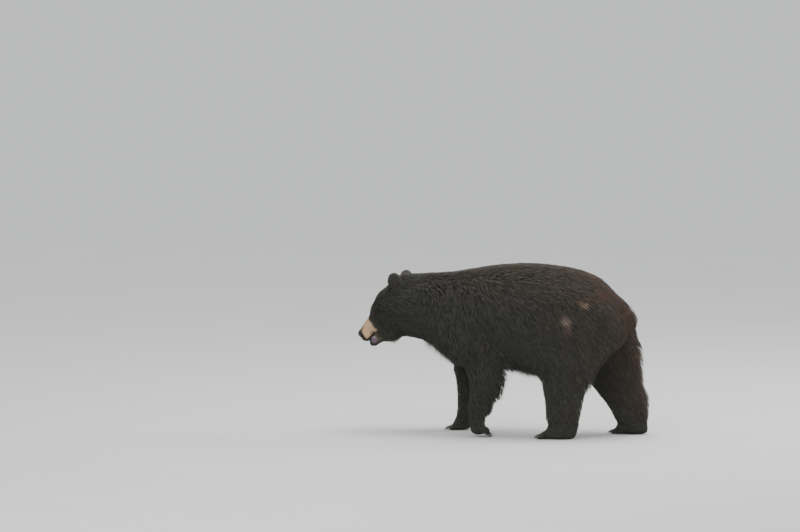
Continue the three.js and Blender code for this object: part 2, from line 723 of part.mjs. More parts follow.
// A claw is a cone bent downwards along an arc, rooted in the tip of its toe.
const CLAW_SIDES = 4;
const CLAW_RADIUS = 5.2;
const CLAW_SLIMNESS = 0.8; // its width over its height
const CLAW_ROOT = 7;
const CLAW_LIFT = 5; // the root's height over the toe's middle
const CLAW_BEND = 0.9; // radians from root to tip
const CLAW_TURNED_UP = 0.12; // radians at the root

function clawSolid(owner, toe, grow) {
  const { frame: paw, size } = owner;
  const tip = toeTip(owner, toe);
  const along = unit(subtract(tip, toeRoot(owner, toe)));
  const level = unit(subtract(along, times(paw.up, dot(along, paw.up))));
  const length = size.claw + CLAW_ROOT;
  const geometry = new THREE.ConeGeometry(CLAW_RADIUS + grow, length + grow, CLAW_SIDES, 2);
  geometry.translate(0, (length - grow) / 2, 0);
  const place = geometry.attributes.position;
  const start = add(tip, add(times(level, size.toeRadius - 1 - CLAW_ROOT), times(paw.up, CLAW_LIFT)));
  const side = cross(level, paw.up);
  const arcRadius = length / CLAW_BEND;
  for (let i = 0; i < place.count; i++) {
    const angle = place.getY(i) / arcRadius - CLAW_TURNED_UP;
    const out = arcRadius + place.getZ(i);
    const forward = Math.sin(angle) * out;
    const rise = Math.cos(angle) * out - arcRadius;
    const middle = add(add(start, times(level, forward)), times(paw.up, rise));
    place.setXYZ(i, ...add(middle, times(side, place.getX(i) * CLAW_SLIMNESS)));
  }
  return solidOf(geometry);
}

// ---------------------------------------------------------------- materials

const COAT = { color: 0x2b2724, roughness: 0.85, metalness: 0 };
const TAN = { color: 0xc09a78, roughness: 0.85, metalness: 0 };
const NOSE = { color: 0x1d1b1b, roughness: 0.45, metalness: 0 };
const TONGUE = { color: 0x8d6d70, roughness: 0.4, metalness: 0 };
const EYE = { color: 0x1c120b, roughness: 0.1, metalness: 0 };
const HORN = { color: 0x3a332c, roughness: 0.5, metalness: 0 };

const bear = new THREE.Group();

function addNode(name, solid, look) {
  const mesh = new THREE.Mesh(geometryOf(solid), new THREE.MeshStandardMaterial(look));
  mesh.name = name;
  bear.add(mesh);
}

// ---------------------------------------------------------------- head

const eyes = {};
let skull = fineBody(CELL.head, [headCut, behind(browCut)]);
let face = fineBody(CELL.face, [headCut, browCut, behind(faceCut)]);

// The roots of the ears sit in hollows of the skull.
for (const side of [LEFT, RIGHT]) {
  const word = SIDE_NAMES[side];
  const ear = surfaceAround(earShape(side), earFrame(side).start, 74, CELL.ear);
  addNode(`ear_${word}`, solidOf(ear), COAT);
  skull = skull.subtract(swollen(ear));
  eyes[word] = ball(eyeCentre(side), EYE_RADIUS);
  const opening = ball(add(eyeCentre(side), times(eyeFacing(side), EYE_RADIUS)), EYE_RADIUS);
  face = face.subtract(ball(eyeCentre(side), EYE_RADIUS + CUT_GAP)).subtract(opening);
}
addNode("head", largestPart(skull), COAT);
addNode("face", largestPart(face), COAT);
addNode("eye_left", eyes.left, EYE);
addNode("eye_right", eyes.right, EYE);

const noseRoom = [noseCut, noseFloorCut];
const overMouth = [headCut, faceCut, mouthCut, upperLipCut];
const underMouth = [headCut, faceCut, behind(mouthCut), lowerLipCut];
const muzzle = fineBody(CELL.muzzle, overMouth);
addNode("muzzle", largestPart(muzzle.subtract(room(noseRoom))), TAN);
addNode("nose", fineBody(CELL.nose, [...overMouth, ...noseRoom]), NOSE);
addNode("lower_jaw", fineBody(CELL.muzzle, underMouth), COAT);
addNode("tongue", tongueSolid(), TONGUE);

// ---------------------------------------------------------------- neck and trunk

const trunk = [behind(neckCut), behind(elbowCut)];
addNode("neck", partOf(trunkMesh, [behind(headCut), neckCut]), COAT);
const betweenShoulders = [...trunk, chestCut, behind(shoulderCut[LEFT]), behind(shoulderCut[RIGHT])];
addNode("chest", partOf(trunkMesh, betweenShoulders), COAT);

const loin = partOf(trunkMesh, [behind(chestCut), bellyCut, behind(kneeCut)]);
const thighRooms = [LEFT, RIGHT].map((side) => room([thighCut[side], thighFrontCut]));
addNode("belly", largestPart(loin.subtract(thighRooms[0]).subtract(thighRooms[1])), COAT);

const betweenThighs = [behind(bellyCut), behind(kneeCut), behind(thighCut[LEFT]), behind(thighCut[RIGHT])];
const seat = partOf(trunkMesh, betweenThighs);
const tailSurface = surfaceAround(tail, alongTail(0.5, 0), TAIL_LENGTH, CELL.tail);
addNode("rump", largestPart(seat.subtract(swollen(tailSurface))), COAT);
addNode("tail", solidOf(tailSurface), COAT);

// ---------------------------------------------------------------- legs and paws

for (const side of [LEFT, RIGHT]) {
  const word = SIDE_NAMES[side];
  const half = side === LEFT ? middleCut : behind(middleCut);
  const foreHalf = [half, chestCut, elbowCut];
  const hindHalf = [half, behind(chestCut), kneeCut];
  addNode(`shoulder_${word}`, partOf(trunkMesh, [...trunk, chestCut, shoulderCut[side]]), COAT);
  addNode(`foreleg_${word}`, partOf(legMesh, [...foreHalf, behind(wristCut[side])]), COAT);
  addNode(`thigh_${word}`, partOf(trunkMesh, [thighFrontCut, thighCut[side], behind(kneeCut)]), COAT);
  addNode(`hindleg_${word}`, partOf(legMesh, [...hindHalf, behind(ankleCut[side])]), COAT);

  const pawRooms = {
    [`forepaw_${word}`]: [...foreHalf, wristCut[side]],
    [`hindpaw_${word}`]: [...hindHalf, ankleCut[side]],
  };
  for (const [name, cuts] of Object.entries(pawRooms)) {
    const toes = PAWS[name].size.toes;
    let solid = fineBody(CELL.paw, cuts);
    for (let toe = 0; toe < toes; toe++) solid = solid.add(toeSolid(PAWS[name], toe));
    for (let toe = 0; toe < toes; toe++) solid = solid.subtract(clawSolid(PAWS[name], toe, CUT_GAP));
    addNode(name, largestPart(solid.trimByPlane([0, 0, 1], 0)), COAT);
    for (let toe = 0; toe < toes; toe++) {
      addNode(`${name}_claw_${toe + 1}`, clawSolid(PAWS[name], toe, 0), HORN);
    }
  }
}

// ---------------------------------------------------------------- origin under the middle of the bear

const extent = new THREE.Box3().setFromObject(bear);
const model = new THREE.Group();
bear.position.set(-(extent.min.x + extent.max.x) / 2, -(extent.min.y + extent.max.y) / 2, 0);
model.add(bear);

export default model;
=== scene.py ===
# A life-size American black bear, walking slowly with its head low: skin, coat, eyes, nose, mouth and claws
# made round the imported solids. Metres, +Z up; the bear faces -X and its left side is -Y.

import math

import bmesh
import bpy
import numpy as np
import openvdb
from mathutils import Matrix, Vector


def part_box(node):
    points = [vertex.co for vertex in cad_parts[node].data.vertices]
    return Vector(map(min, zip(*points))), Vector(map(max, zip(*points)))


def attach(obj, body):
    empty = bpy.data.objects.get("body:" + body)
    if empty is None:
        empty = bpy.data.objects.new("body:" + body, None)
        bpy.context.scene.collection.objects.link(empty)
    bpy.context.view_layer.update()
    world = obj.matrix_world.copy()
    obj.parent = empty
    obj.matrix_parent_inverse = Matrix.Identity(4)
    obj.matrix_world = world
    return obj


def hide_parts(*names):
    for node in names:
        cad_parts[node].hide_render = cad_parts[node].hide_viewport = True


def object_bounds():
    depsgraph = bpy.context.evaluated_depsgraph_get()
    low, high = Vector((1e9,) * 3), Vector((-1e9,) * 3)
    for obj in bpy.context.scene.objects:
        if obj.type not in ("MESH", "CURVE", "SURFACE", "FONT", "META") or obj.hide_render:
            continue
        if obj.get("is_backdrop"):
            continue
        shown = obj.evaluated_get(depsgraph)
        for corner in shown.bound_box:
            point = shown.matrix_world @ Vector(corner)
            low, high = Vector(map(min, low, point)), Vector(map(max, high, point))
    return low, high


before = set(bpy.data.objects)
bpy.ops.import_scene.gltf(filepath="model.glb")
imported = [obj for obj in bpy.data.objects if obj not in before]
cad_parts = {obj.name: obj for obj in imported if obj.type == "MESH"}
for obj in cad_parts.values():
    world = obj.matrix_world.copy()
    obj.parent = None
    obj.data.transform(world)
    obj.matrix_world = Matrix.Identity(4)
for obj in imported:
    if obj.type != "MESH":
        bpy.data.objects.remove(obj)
cad_low, cad_high = (np.array(corner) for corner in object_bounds())


# ---------------------------------------------------------------- shape of the body
# The outer shape of the coat, as one field of distances made from the solids of flesh. The thin cuts between
# the solids are closed and their facets rounded, more on the trunk than on the head and paws.

NOT_FLESH = ("eye_left", "eye_right", "tongue")
FLESH = sorted(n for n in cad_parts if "_claw_" not in n and n not in NOT_FLESH)
CUT_CLOSING = 0.002  # wider than the cuts between the solids
BODY_STEP = 0.006
FINE_STEP = 0.003
INSIDE_BAND = 0.051  # how far below the coat's tips the distance is known
OUTSIDE_BAND = 0.021
BODY_MARGIN = 0.03


def solid_mesh(names):
    points, faces, first = [], [], 0
    for name in names:
        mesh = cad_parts[name].data
        mesh.calc_loop_triangles()
        place = np.empty(len(mesh.vertices) * 3, np.float32)
        mesh.vertices.foreach_get("co", place)
        corners = np.empty(len(mesh.loop_triangles) * 3, np.int32)
        mesh.loop_triangles.foreach_get("vertices", corners)
        points.append(place.reshape(-1, 3))
        faces.append(corners.reshape(-1, 3) + first)
        first += len(mesh.vertices)
    return np.concatenate(points), np.concatenate(faces).astype(np.uint32)


class Field:
    """Numbers on a regular grid of points, read anywhere between them."""

    def __init__(self, low, step, values):
        self.low, self.step, self.values = np.asarray(low, float), step, values

    def at(self, points, channels=None):
        shape = self.values.shape
        flat = self.values.reshape(shape[0] * shape[1] * shape[2], -1)[:, :channels]
        places, shares = 0, []
        for axis in range(3):
            cell = np.clip((points[:, axis] - self.low[axis]) / self.step, 0, shape[axis] - 1.001)
            base = cell.astype(np.int64)
            part = (cell - base).astype(np.float32)
            places = places * shape[axis] + base
            shares.append((1 - part, part))
        total = 0
        for corner in range(8):
            di, dj, dk = corner & 1, corner >> 1 & 1, corner >> 2
            share = shares[0][di] * shares[1][dj] * shares[2][dk]
            found = flat[places + (di * shape[1] + dj) * shape[2] + dk]
            total = total + found * share[:, None]
        return total if self.values.ndim > 3 else total[:, 0]

    def grid_points(self):
        axes = [low + self.step * np.arange(n) for low, n in zip(self.low, self.values.shape)]
        return np.stack(np.meshgrid(*axes, indexing="ij"), -1).reshape(-1, 3)


def blurred(values, sigma):
    """The values smoothed with a bell of sigma grid steps."""
    reach = max(int(math.ceil(2.6 * sigma)), 1)
    shares = np.exp(-0.5 * (np.arange(-reach, reach + 1) / sigma) ** 2)
    shares = (shares / shares.sum()).astype(np.float32)
    part = np.empty_like(values)
    for axis in range(3):
        pad = [(reach, reach) if a == axis else (0, 0) for a in range(3)]
        wide = np.moveaxis(np.pad(values, pad, mode="edge"), axis, 0)
        values = np.zeros_like(values)
        along, some = np.moveaxis(values, axis, 0), np.moveaxis(part, axis, 0)
        for n, share in enumerate(shares):
            np.multiply(wide[n : n + len(along)], share, out=some)
            along += some
    return values


outline_points, outline_faces = solid_mesh([*FLESH, "eye_left", "eye_right"])
closing = openvdb.FloatGrid.createLevelSetFromPolygons(
    outline_points,
    triangles=outline_faces,
    transform=openvdb.createLinearTransform(voxelSize=FINE_STEP),
    exBandWidth=3,
    inBandWidth=2,
)
whole_points, whole_triangles, whole_quads = closing.convertToPolygons(isovalue=CUT_CLOSING)
whole = openvdb.FloatGrid.createLevelSetFromPolygons(
    whole_points,
    triangles=whole_triangles,
    quads=whole_quads,
    transform=openvdb.createLinearTransform(voxelSize=FINE_STEP),
    exBandWidth=OUTSIDE_BAND / FINE_STEP,
    inBandWidth=INSIDE_BAND / FINE_STEP,
)


def body_distances(low, high, every=1):
    """The distance to the coat's tips, below 0 inside, over a box, on every so many-th point."""
    first = np.floor(np.asarray(low) / BODY_STEP).astype(int) * round(BODY_STEP / FINE_STEP)
    count = np.ceil(np.asarray(high) / FINE_STEP).astype(int) - first + 1
    values = np.empty(count, np.float32)
    whole.copyToArray(values, ijk=tuple(first.tolist()))
    return Field(first * FINE_STEP, FINE_STEP * every, values[::every, ::every, ::every] + CUT_CLOSING)


def boxes(names, margin):
    corners = [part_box(n) for n in names]
    low = np.min([np.array(c[0]) for c in corners], 0) - margin
    high = np.max([np.array(c[1]) for c in corners], 0) + margin
    return low, high


def smooth_step(low, high, value):
    t = np.clip((value - low) / (high - low), 0, 1)
    return t * t * (3 - 2 * t)


# The head has its own directions: forward to the nose, side to the bear's right, up to the forehead.
HEAD_PITCH = math.radians(49)
HEAD_YAW = math.radians(8)
EYE_FROM_HEAD = (0.170, 0.073)  # forward and up from the point between the ears
level = np.array([-math.cos(HEAD_YAW), math.sin(HEAD_YAW), 0])
head_forward = level * math.cos(HEAD_PITCH) - np.array([0, 0, math.sin(HEAD_PITCH)])
head_up = level * math.sin(HEAD_PITCH) + np.array([0, 0, math.cos(HEAD_PITCH)])
head_side = np.cross(head_forward, head_up)
eye_centres = {word: np.mean([np.array(c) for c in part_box(f"eye_{word}")], 0) for word in ("left", "right")}
head_start = (eye_centres["left"] + eye_centres["right"]) / 2
head_start = head_start - EYE_FROM_HEAD[0] * head_forward - EYE_FROM_HEAD[1] * head_up


def in_head(points):
    """Forward, side and up of points in the head's own directions, in millimetres."""
    return ((points - head_start) @ np.stack([head_forward, head_side, head_up], 1) * 1000).T


def head_place(forward, side, up):
    return head_start + (forward * head_forward + side * head_side + up * head_up) / 1000


def head_turn(forward, side, up):
    way = forward * head_forward + side * head_side + up * head_up
    return way / np.linalg.norm(way)


HEAD_PARTS = ["ear_left", "ear_right", "head", "face", "muzzle", "nose", "lower_jaw"]
PAWS = ["forepaw_left", "forepaw_right", "hindpaw_left", "hindpaw_right"]
HEAD_MARGIN, PAW_MARGIN = 0.03, 0.036
# How far the facets are rounded, as the width of a bell: least on the ears' rims, the lips and the nose.
BODY_ROUNDING, SKULL_ROUNDING, FACE_ROUNDING, RIM_ROUNDING, PAW_ROUNDING = 0.011, 0.009, 0.0052, 0.0032, 0.004
FACE_STARTS, MUZZLE_STARTS = (90, 150), (212, 240)  # forward on the head, mm
EAR_FACE_REACH, EAR_RIM_REACH = (0.062, 0.085), (0.05, 0.075)  # from the middle of an ear
MUZZLE_SWELL = 0.0012  # makes up for what the rounding takes off the muzzle and jaw
ear_centres = {word: np.mean([np.array(c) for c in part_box(f"ear_{word}")], 0) for word in ("left", "right")}

body_shape = body_distances(cad_low - BODY_MARGIN, cad_high + BODY_MARGIN, 2)
body_shape.values = blurred(body_shape.values, BODY_ROUNDING / BODY_STEP)
head_shape = body_distances(*boxes(HEAD_PARTS, HEAD_MARGIN))
head_points = head_shape.grid_points()
forward, side, up = in_head(head_points)


def round_ears(full, none):
    """1 as far as full from the middle of an ear, fading to 0 at none."""
    away = np.min([np.linalg.norm(head_points - c, axis=1) for c in ear_centres.values()], 0)
    return 1 - smooth_step(full, none, away)


def on_head_grid(shares):
    return shares.reshape(head_shape.values.shape).astype(np.float32)


face_share = on_head_grid(np.maximum(smooth_step(*FACE_STARTS, forward), round_ears(*EAR_FACE_REACH)))
front_share = on_head_grid(smooth_step(*MUZZLE_STARTS, forward))
rim_share = np.maximum(on_head_grid(round_ears(*EAR_RIM_REACH)), front_share)
skull, facial, thin = (
    blurred(head_shape.values, width / FINE_STEP) for width in (SKULL_ROUNDING, FACE_ROUNDING, RIM_ROUNDING)
)
head_shape.values = skull + face_share * (facial - skull)
head_shape.values += rim_share * (thin - head_shape.values)
head_shape.values -= front_share * MUZZLE_SWELL
fine_shapes = [head_shape]
for name in PAWS:
    paw_shape = body_distances(*boxes([name], PAW_MARGIN))
    paw_shape.values = blurred(paw_shape.values, PAW_ROUNDING / FINE_STEP)
    fine_shapes.append(paw_shape)


def inside_share(shape, points, rim=(0.002, 0.024)):
    """1 well inside a fine field's box, 0 at its edge."""
    top = shape.low + (np.array(shape.values.shape[:3]) - 1) * shape.step
    depth = np.minimum(points[:, 0] - shape.low[0], top[0] - points[:, 0])
    for axis in (1, 2):
        depth = np.minimum(depth, points[:, axis] - shape.low[axis])
        depth = np.minimum(depth, top[axis] - points[:, axis])
    return smooth_step(*rim, depth)


def coat_distance(points):
    """Distance to the coat's tips, in metres, below 0 inside."""
    value = body_shape.at(points)
    for shape in fine_shapes:
        share = inside_share(shape, points)
        near = share > 0
        if near.any():
            value[near] += share[near] * (shape.at(points[near]) - value[near])
    return value


def slope_of(function, points, step=0.002):
    here = function(points)
    slope = np.stack([function(points + step * np.eye(3)[axis]) - here for axis in range(3)], 1)
    return slope / np.maximum(np.linalg.norm(slope, axis=1, keepdims=True), 1e-9)


# ---------------------------------------------------------------- lie of the coat
# What the fur is like in each place: how deep it stands over the skin, how long its tufts are, which way they
# lie, and how brown it is, partly sun-bleached hair and partly painted backlight on the rims of the rump and
# thighs. Between the places in the list it changes smoothly.
# Each row: place x, y, z in mm (y on the right side, also used on the left), depth mm, length mm, lie to the
# rear, outwards and up, brown 0 to 1, and the reach of the row in mm.

BOTH_SIDES = [
    # neck
    (-440, 0, 815, 26, 62, 1.0, 0.2, 0.0, 0.05, 60),
    (-430, 140, 720, 30, 70, 0.4, 0.1, -0.9, 0.0, 60),
    (-430, 150, 610, 31, 74, 0.2, 0.0, -1.0, 0.0, 60),
    (-400, 60, 475, 37, 76, 0.45, 0.0, -0.9, 0.0, 60),
    (-330, 90, 405, 37, 76, 0.35, 0.0, -0.95, 0.0, 60),
    # back, from the shoulders to the rump
    (-250, 0, 835, 28, 70, 1.0, 0.05, 0.0, 0.15, 70),
    (-50, 0, 870, 28, 74, 1.0, 0.1, 0.0, 0.35, 80),
    (160, 0, 878, 28, 74, 1.0, 0.1, 0.0, 0.5, 80),
    (350, 0, 862, 28, 74, 1.0, 0.1, -0.1, 0.55, 80),
    (520, 0, 795, 30, 76, 0.9, 0.0, -0.5, 0.6, 70),
    (630, 0, 700, 30, 78, 0.75, 0.0, -0.75, 0.6, 60),
    # upper side
    (-330, 70, 815, 28, 70, 0.8, 0.15, -0.45, 0.05, 45),
    (-240, 70, 825, 28, 72, 0.8, 0.15, -0.45, 0.1, 50),
    (-60, 80, 852, 28, 74, 0.9, 0.15, -0.35, 0.15, 55),
    (160, 80, 862, 28, 74, 1.0, 0.15, -0.25, 0.25, 55),
    (350, 80, 846, 28, 74, 0.95, 0.15, -0.3, 0.35, 55),
    (-250, 130, 780, 30, 76, 0.5, 0.2, -0.8, 0.05, 70),
    (-50, 150, 800, 30, 78, 0.65, 0.2, -0.7, 0.1, 70),
    (160, 150, 810, 30, 76, 0.9, 0.15, -0.4, 0.1, 80),
    (370, 140, 790, 30, 76, 0.9, 0.15, -0.4, 0.2, 80),
    (530, 120, 720, 30, 78, 0.7, 0.1, -0.75, 0.25, 70),
    # middle of the side
    (-220, 200, 640, 31, 76, 0.2, 0.0, -1.0, 0.0, 70),
    (-40, 215, 640, 31, 78, 0.4, 0.0, -0.9, 0.0, 80),
    (160, 225, 620, 30, 80, 0.6, 0.0, -0.8, 0.0, 90),
    (370, 220, 620, 30, 78, 0.55, 0.0, -0.8, 0.05, 80),
    (550, 170, 600, 32, 80, 0.5, 0.0, -0.85, 0.12, 70),
    # lower side and belly
    (-120, 200, 470, 32, 72, 0.3, 0.0, -0.95, 0.0, 60),
    (90, 200, 430, 36, 84, 0.7, -0.1, -0.7, 0.0, 70),
    (220, 200, 420, 38, 84, 0.65, -0.1, -0.7, 0.0, 60),
    (90, 60, 330, 38, 90, 1.0, 0.0, -0.2, 0.0, 60),
    (230, 60, 315, 38, 90, 1.0, 0.0, -0.1, 0.0, 60),
    (-140, 40, 345, 36, 76, 0.8, 0.0, -0.5, 0.0, 60),
    (-280, 50, 360, 34, 72, 0.25, 0.1, -0.95, 0.0, 50),
    # back of the thighs, their brown partly painted backlight on the rim
    (665, 80, 600, 34, 80, 0.2, 0.25, -0.95, 0.6, 50),
    # tail
    (662, 0, 690, 17, 70, 0.7, 0.0, -0.85, 0.6, 24),
    (690, 0, 655, 8, 56, 0.4, 0.0, -1.0, 0.6, 20),
    (705, 0, 610, 3, 46, 0.1, 0.0, -1.0, 0.6, 20),
    (700, 0, 580, 3, 42, 0.1, 0.0, -1.0, 0.6, 20),
    (692, 0, 555, 3, 38, 0.0, 0.0, -1.0, 0.6, 20),
    # beside the tail, towards it
    (658, 30, 690, 16, 66, 0.5, -0.25, -0.9, 0.6, 18),
    (666, 34, 650, 14, 62, 0.35, -0.3, -1.0, 0.6, 18),
    (670, 34, 605, 14, 58, 0.2, -0.3, -1.0, 0.6, 18),
    # between the thighs
    (600, 20, 500, 30, 66, 0.2, 0.1, -1.0, 0.3, 40),
]

LEGS = [
    # left foreleg: front, rear fringe, outside, inside, wrist
    (-130, -140, 300, 14, 44, 0.15, 0.0, -1.0, 0.0, 45),
    (18, -150, 325, 38, 92, 0.65, 0.0, -0.75, 0.0, 40),
    (16, -150, 230, 40, 92, 0.75, 0.0, -0.65, 0.0, 36),
    (-34, -145, 140, 40, 66, 0.9, 0.0, -0.45, 0.0, 24),
    (-70, -205, 300, 18, 54, 0.25, 0.0, -1.0, 0.0, 45),
    (-70, -90, 280, 13, 40, 0.2, 0.0, -1.0, 0.0, 40),
    (-115, -142, 150, 9, 28, 0.2, 0.0, -1.0, 0.0, 35),
    (-100, -142, 110, 8, 20, 0.1, 0.0, -1.0, 0.0, 25),
    # right foreleg
    (-275, 140, 300, 14, 44, 0.1, 0.0, -1.0, 0.0, 45),
    (-130, 150, 310, 38, 90, 0.6, 0.0, -0.8, 0.0, 40),
    (-140, 150, 215, 39, 80, 0.6, 0.0, -0.8, 0.0, 36),
    (-165, 145, 125, 34, 50, 0.7, 0.0, -0.7, 0.0, 22),
    (-210, 205, 300, 18, 54, 0.2, 0.0, -1.0, 0.0, 45),
    (-210, 90, 280, 13, 40, 0.2, 0.0, -1.0, 0.0, 40),
    (-215, 142, 130, 9, 28, 0.0, 0.0, -1.0, 0.0, 35),
    (-225, 142, 75, 7, 18, -0.4, 0.0, -0.9, 0.0, 25),
    # left hind leg: thigh front, outside, back, shin, calf, hock, inside
    (230, -150, 400, 26, 60, 0.4, 0.0, -0.95, 0.0, 50),
    (380, -222, 480, 28, 70, 0.45, 0.0, -0.9, 0.0, 70),
    (520, -170, 460, 32, 80, 0.35, 0.0, -0.95, 0.15, 50),
    (262, -150, 230, 13, 42, 0.25, 0.0, -1.0, 0.0, 45),
    (350, -205, 240, 16, 50, 0.35, 0.0, -1.0, 0.0, 45),
    (440, -140, 330, 37, 80, 0.35, 0.0, -0.95, 0.05, 45),
    (430, -140, 170, 26, 56, 0.1, 0.0, -1.0, 0.05, 40),
    (360, -90, 260, 14, 42, 0.3, 0.0, -1.0, 0.0, 45),
    (300, -145, 110, 9, 28, 0.0, 0.0, -1.0, 0.0, 35),
    # right hind leg, reaching back
    (300, 150, 400, 28, 66, 0.6, 0.0, -0.85, 0.0, 50),
    (470, 222, 450, 28, 70, 0.6, 0.0, -0.8, 0.0, 70),
    (480, 150, 300, 16, 52, 0.75, 0.0, -0.7, 0.0, 45),
    (600, 150, 450, 32, 78, 0.45, 0.0, -0.9, 0.15, 50),
    # the rear edge of the leg: its brown is partly painted backlight on the rim
    (690, 140, 420, 37, 82, 0.3, 0.0, -0.95, 0.8, 34),
    (720, 138, 280, 37, 76, 0.25, 0.0, -1.0, 0.75, 34),
    (735, 136, 160, 24, 52, 0.05, 0.0, -1.0, 0.45, 32),
    (640, 200, 260, 16, 50, 0.5, 0.0, -0.9, 0.05, 45),
    (640, 85, 260, 14, 42, 0.5, 0.0, -0.9, 0.1, 45),
    (600, 145, 110, 9, 28, 0.0, 0.0, -1.0, 0.0, 35),
]

# On the head the place and the lie are in the head's own directions: forward, side, up.
HEAD_COAT = [
    # crown and forehead
    (-40, 0, 130, 22, 48, -1.0, 0.0, -0.1, 0.05, 45),
    (40, 0, 122, 16, 36, -1.0, 0.0, 0.1, 0.05, 40),
    (100, 0, 105, 11, 26, -1.0, 0.0, 0.2, 0.0, 35),
    (150, 0, 92, 7, 17, -1.0, 0.0, 0.3, 0.0, 25),
    (190, 0, 84, 4, 11, -1.0, 0.0, 0.1, 0.0, 22),
    # cheeks and throat, with a tuft under the jaw
    (60, 95, 60, 20, 42, -0.9, 0.0, -0.4, 0.0, 40),
    (120, 80, 20, 18, 40, -0.9, 0.0, -0.5, 0.0, 35),
    (60, 110, -10, 28, 60, -0.85, 0.1, -0.5, 0.0, 45),
    (0, 100, -50, 32, 66, -0.8, 0.1, -0.6, 0.0, 50),
    (150, 62, 30, 9, 22, -0.95, 0.1, -0.25, 0.0, 22),
    (160, 40, -60, 16, 34, -0.9, 0.1, -0.3, 0.0, 30),
    (170, 0, -95, 20, 36, -0.75, 0.0, -0.65, 0.0, 26),
    (204, 0, -114, 37, 44, -0.45, 0.0, -0.9, 0.0, 22),
    (90, 0, -110, 24, 50, -0.95, 0.0, -0.3, 0.0, 45),
    # eyes, muzzle and lower jaw
    (172, 58, 78, 2.5, 8, -0.9, 0.3, 0.2, 0.0, 20),
    (210, 40, -5, 6, 14, -1.0, 0.0, -0.2, 0.0, 22),
    (230, 30, 40, 2.6, 9, -1.0, 0.0, 0.0, 0.0, 25),
    (240, 0, 80, 2.2, 8, -1.0, 0.0, 0.0, 0.0, 25),
    (290, 20, 50, 1.6, 6, -1.0, 0.0, 0.0, 0.0, 25),
    (305, 8, 24, 1.4, 6, -0.5, 0.5, -0.7, 0.0, 14),
    (285, 24, 20, 1.6, 6, -0.9, 0.1, -0.3, 0.0, 16),
    (250, 0, -50, 4, 12, -1.0, 0.0, -0.1, 0.0, 25),
    (300, 6, -22, 2, 8, -0.35, 0.3, -0.9, 0.0, 14),
    (280, 0, -38, 2.4, 9, -0.9, 0.0, -0.4, 0.0, 16),
    # ears
    (-56, 88, 88, 20, 15, -0.2, 0.35, 1.0, 0.0, 24),
    (-56, 88, 122, 20, 17, -0.2, 0.35, 1.0, 0.05, 24),
]


def lie_table():
    """The rows as arrays: place, depth, length, lie and brown, and reach."""
    rows = []
    for x, y, z, depth, length, back, out, rise, brown, reach in BOTH_SIDES:
        for sign in (-1, 1) if y else (1,):
            rows.append((x, sign * y, z, depth, length, back, sign * out, rise, brown, reach))
    for x, y, z, depth, length, back, out, rise, brown, reach in LEGS:
        rows.append((x, y, z, depth, length, back, math.copysign(out, y), rise, brown, reach))
    for forward, across, high, depth, length, ahead, out, rise, brown, reach in HEAD_COAT:
        for sign in (-1, 1) if across else (1,):
            place = head_place(forward, sign * across, high) * 1000
            rows.append((*place, depth, length, *head_turn(ahead, sign * out, rise), brown, reach))
    for name in PAWS:
        low, high = (np.array(c) * 1000 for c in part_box(name))
        trailing = name == "forepaw_left"
        lie = (0.55, 0.0, -0.85) if trailing else (-0.95, 0.0, -0.3)
        for share in (0.1, 0.5, 0.85):
            x = low[0] + share * (high[0] - low[0])
            y = (low[1] + high[1]) / 2
            rows.append((x, y, high[2] * 0.55, 4.0, 16, *lie, 0.0, 24))
            if not trailing:
                rows.append((x, y, 2, 0.6, 8, *lie, 0.0, 16))
    return np.array(rows, float)


LIE_STEP, FACE_LIE_STEP = 0.024, 0.009
LIE_MARGIN = 0.06
LIE_BATCH = 6000


def lie_field(low, high, step):
    """The table, spread over a box: depth, length, lie (three numbers) and brown."""
    rows = lie_table()
    lie = rows[:, 5:8] / np.linalg.norm(rows[:, 5:8], axis=1, keepdims=True)
    facts = np.concatenate([rows[:, 3:5] / 1000, lie, rows[:, 8:9]], 1)
    count = np.ceil((high - low) / step).astype(int) + 1
    field = Field(low, step, np.zeros((*count, 6), np.float32))
    points = field.grid_points() * 1000
    values = field.values.reshape(-1, 6)
    for first in range(0, len(points), LIE_BATCH):
        some = points[first : first + LIE_BATCH]
        away = ((some[:, None] - rows[:, :3]) ** 2).sum(2)
        nearness = -away / (2 * rows[:, 9] ** 2)
        share = np.exp(nearness - nearness.max(1, keepdims=True))
        values[first : first + LIE_BATCH] = share @ facts / share.sum(1, keepdims=True)
    return field


coat_lie = lie_field(cad_low - LIE_MARGIN, cad_high + LIE_MARGIN, LIE_STEP)
face_lie = lie_field(*boxes(HEAD_PARTS, HEAD_MARGIN), FACE_LIE_STEP)


def coat_facts(points, channels=None):
    """The first of these at each point, in metres, or all: depth, length, lie (three numbers) and brown."""
    facts = coat_lie.at(points, channels)
    share = inside_share(face_lie, points)
    near = share > 0
    if near.any():
        facts[near] += share[near, None] * (face_lie.at(points[near], channels) - facts[near])
    return facts


# ---------------------------------------------------------------- skin
# The bear's skin: one closed surface under the whole coat, with lids round the eyes, lips and hollow ears. It
# lies inside the solids by the depth of the fur and stands for all the solids of flesh.

EYE_RADIUS = 9.5  # mm
EYE_SET = 1.5  # how much deeper the eyeball sits than its solid
LID_THICKNESS = 1.8
EYE_SLIT = (8.4, 4.3)  # half length and half height of the opening between the lids, mm
LID_REACH = (15.5, 12.0)  # the lids' half length and half height
MOUTH_CORNER, MOUTH_FLOOR = 243, 2  # forward, and up, in the head's own directions
MOUTH_SLOPE = 5.5 / 77  # half the gape over the length of the mouth
LIP_PLACE = (274, -18)  # forward and up
LIP_TILT = 0.12
LIP_BARE = 0.9  # how much of the fur's depth the bare lip does without
NOSE_BED = 0.0035  # how much deeper the skin lies behind the nose pad


def hanging_lip(forward, side, up):
    """1 on the bare, sagging part of the lower lip."""
    ahead = forward - LIP_PLACE[0]
    away = np.hypot(ahead, up - LIP_PLACE[1] + LIP_TILT * ahead)
    below_mouth = smooth_step(MOUTH_FLOOR + 1, MOUTH_FLOOR - 3, up)
    return smooth_step(24, 13, away) * smooth_step(5, 12, np.abs(side)) * below_mouth


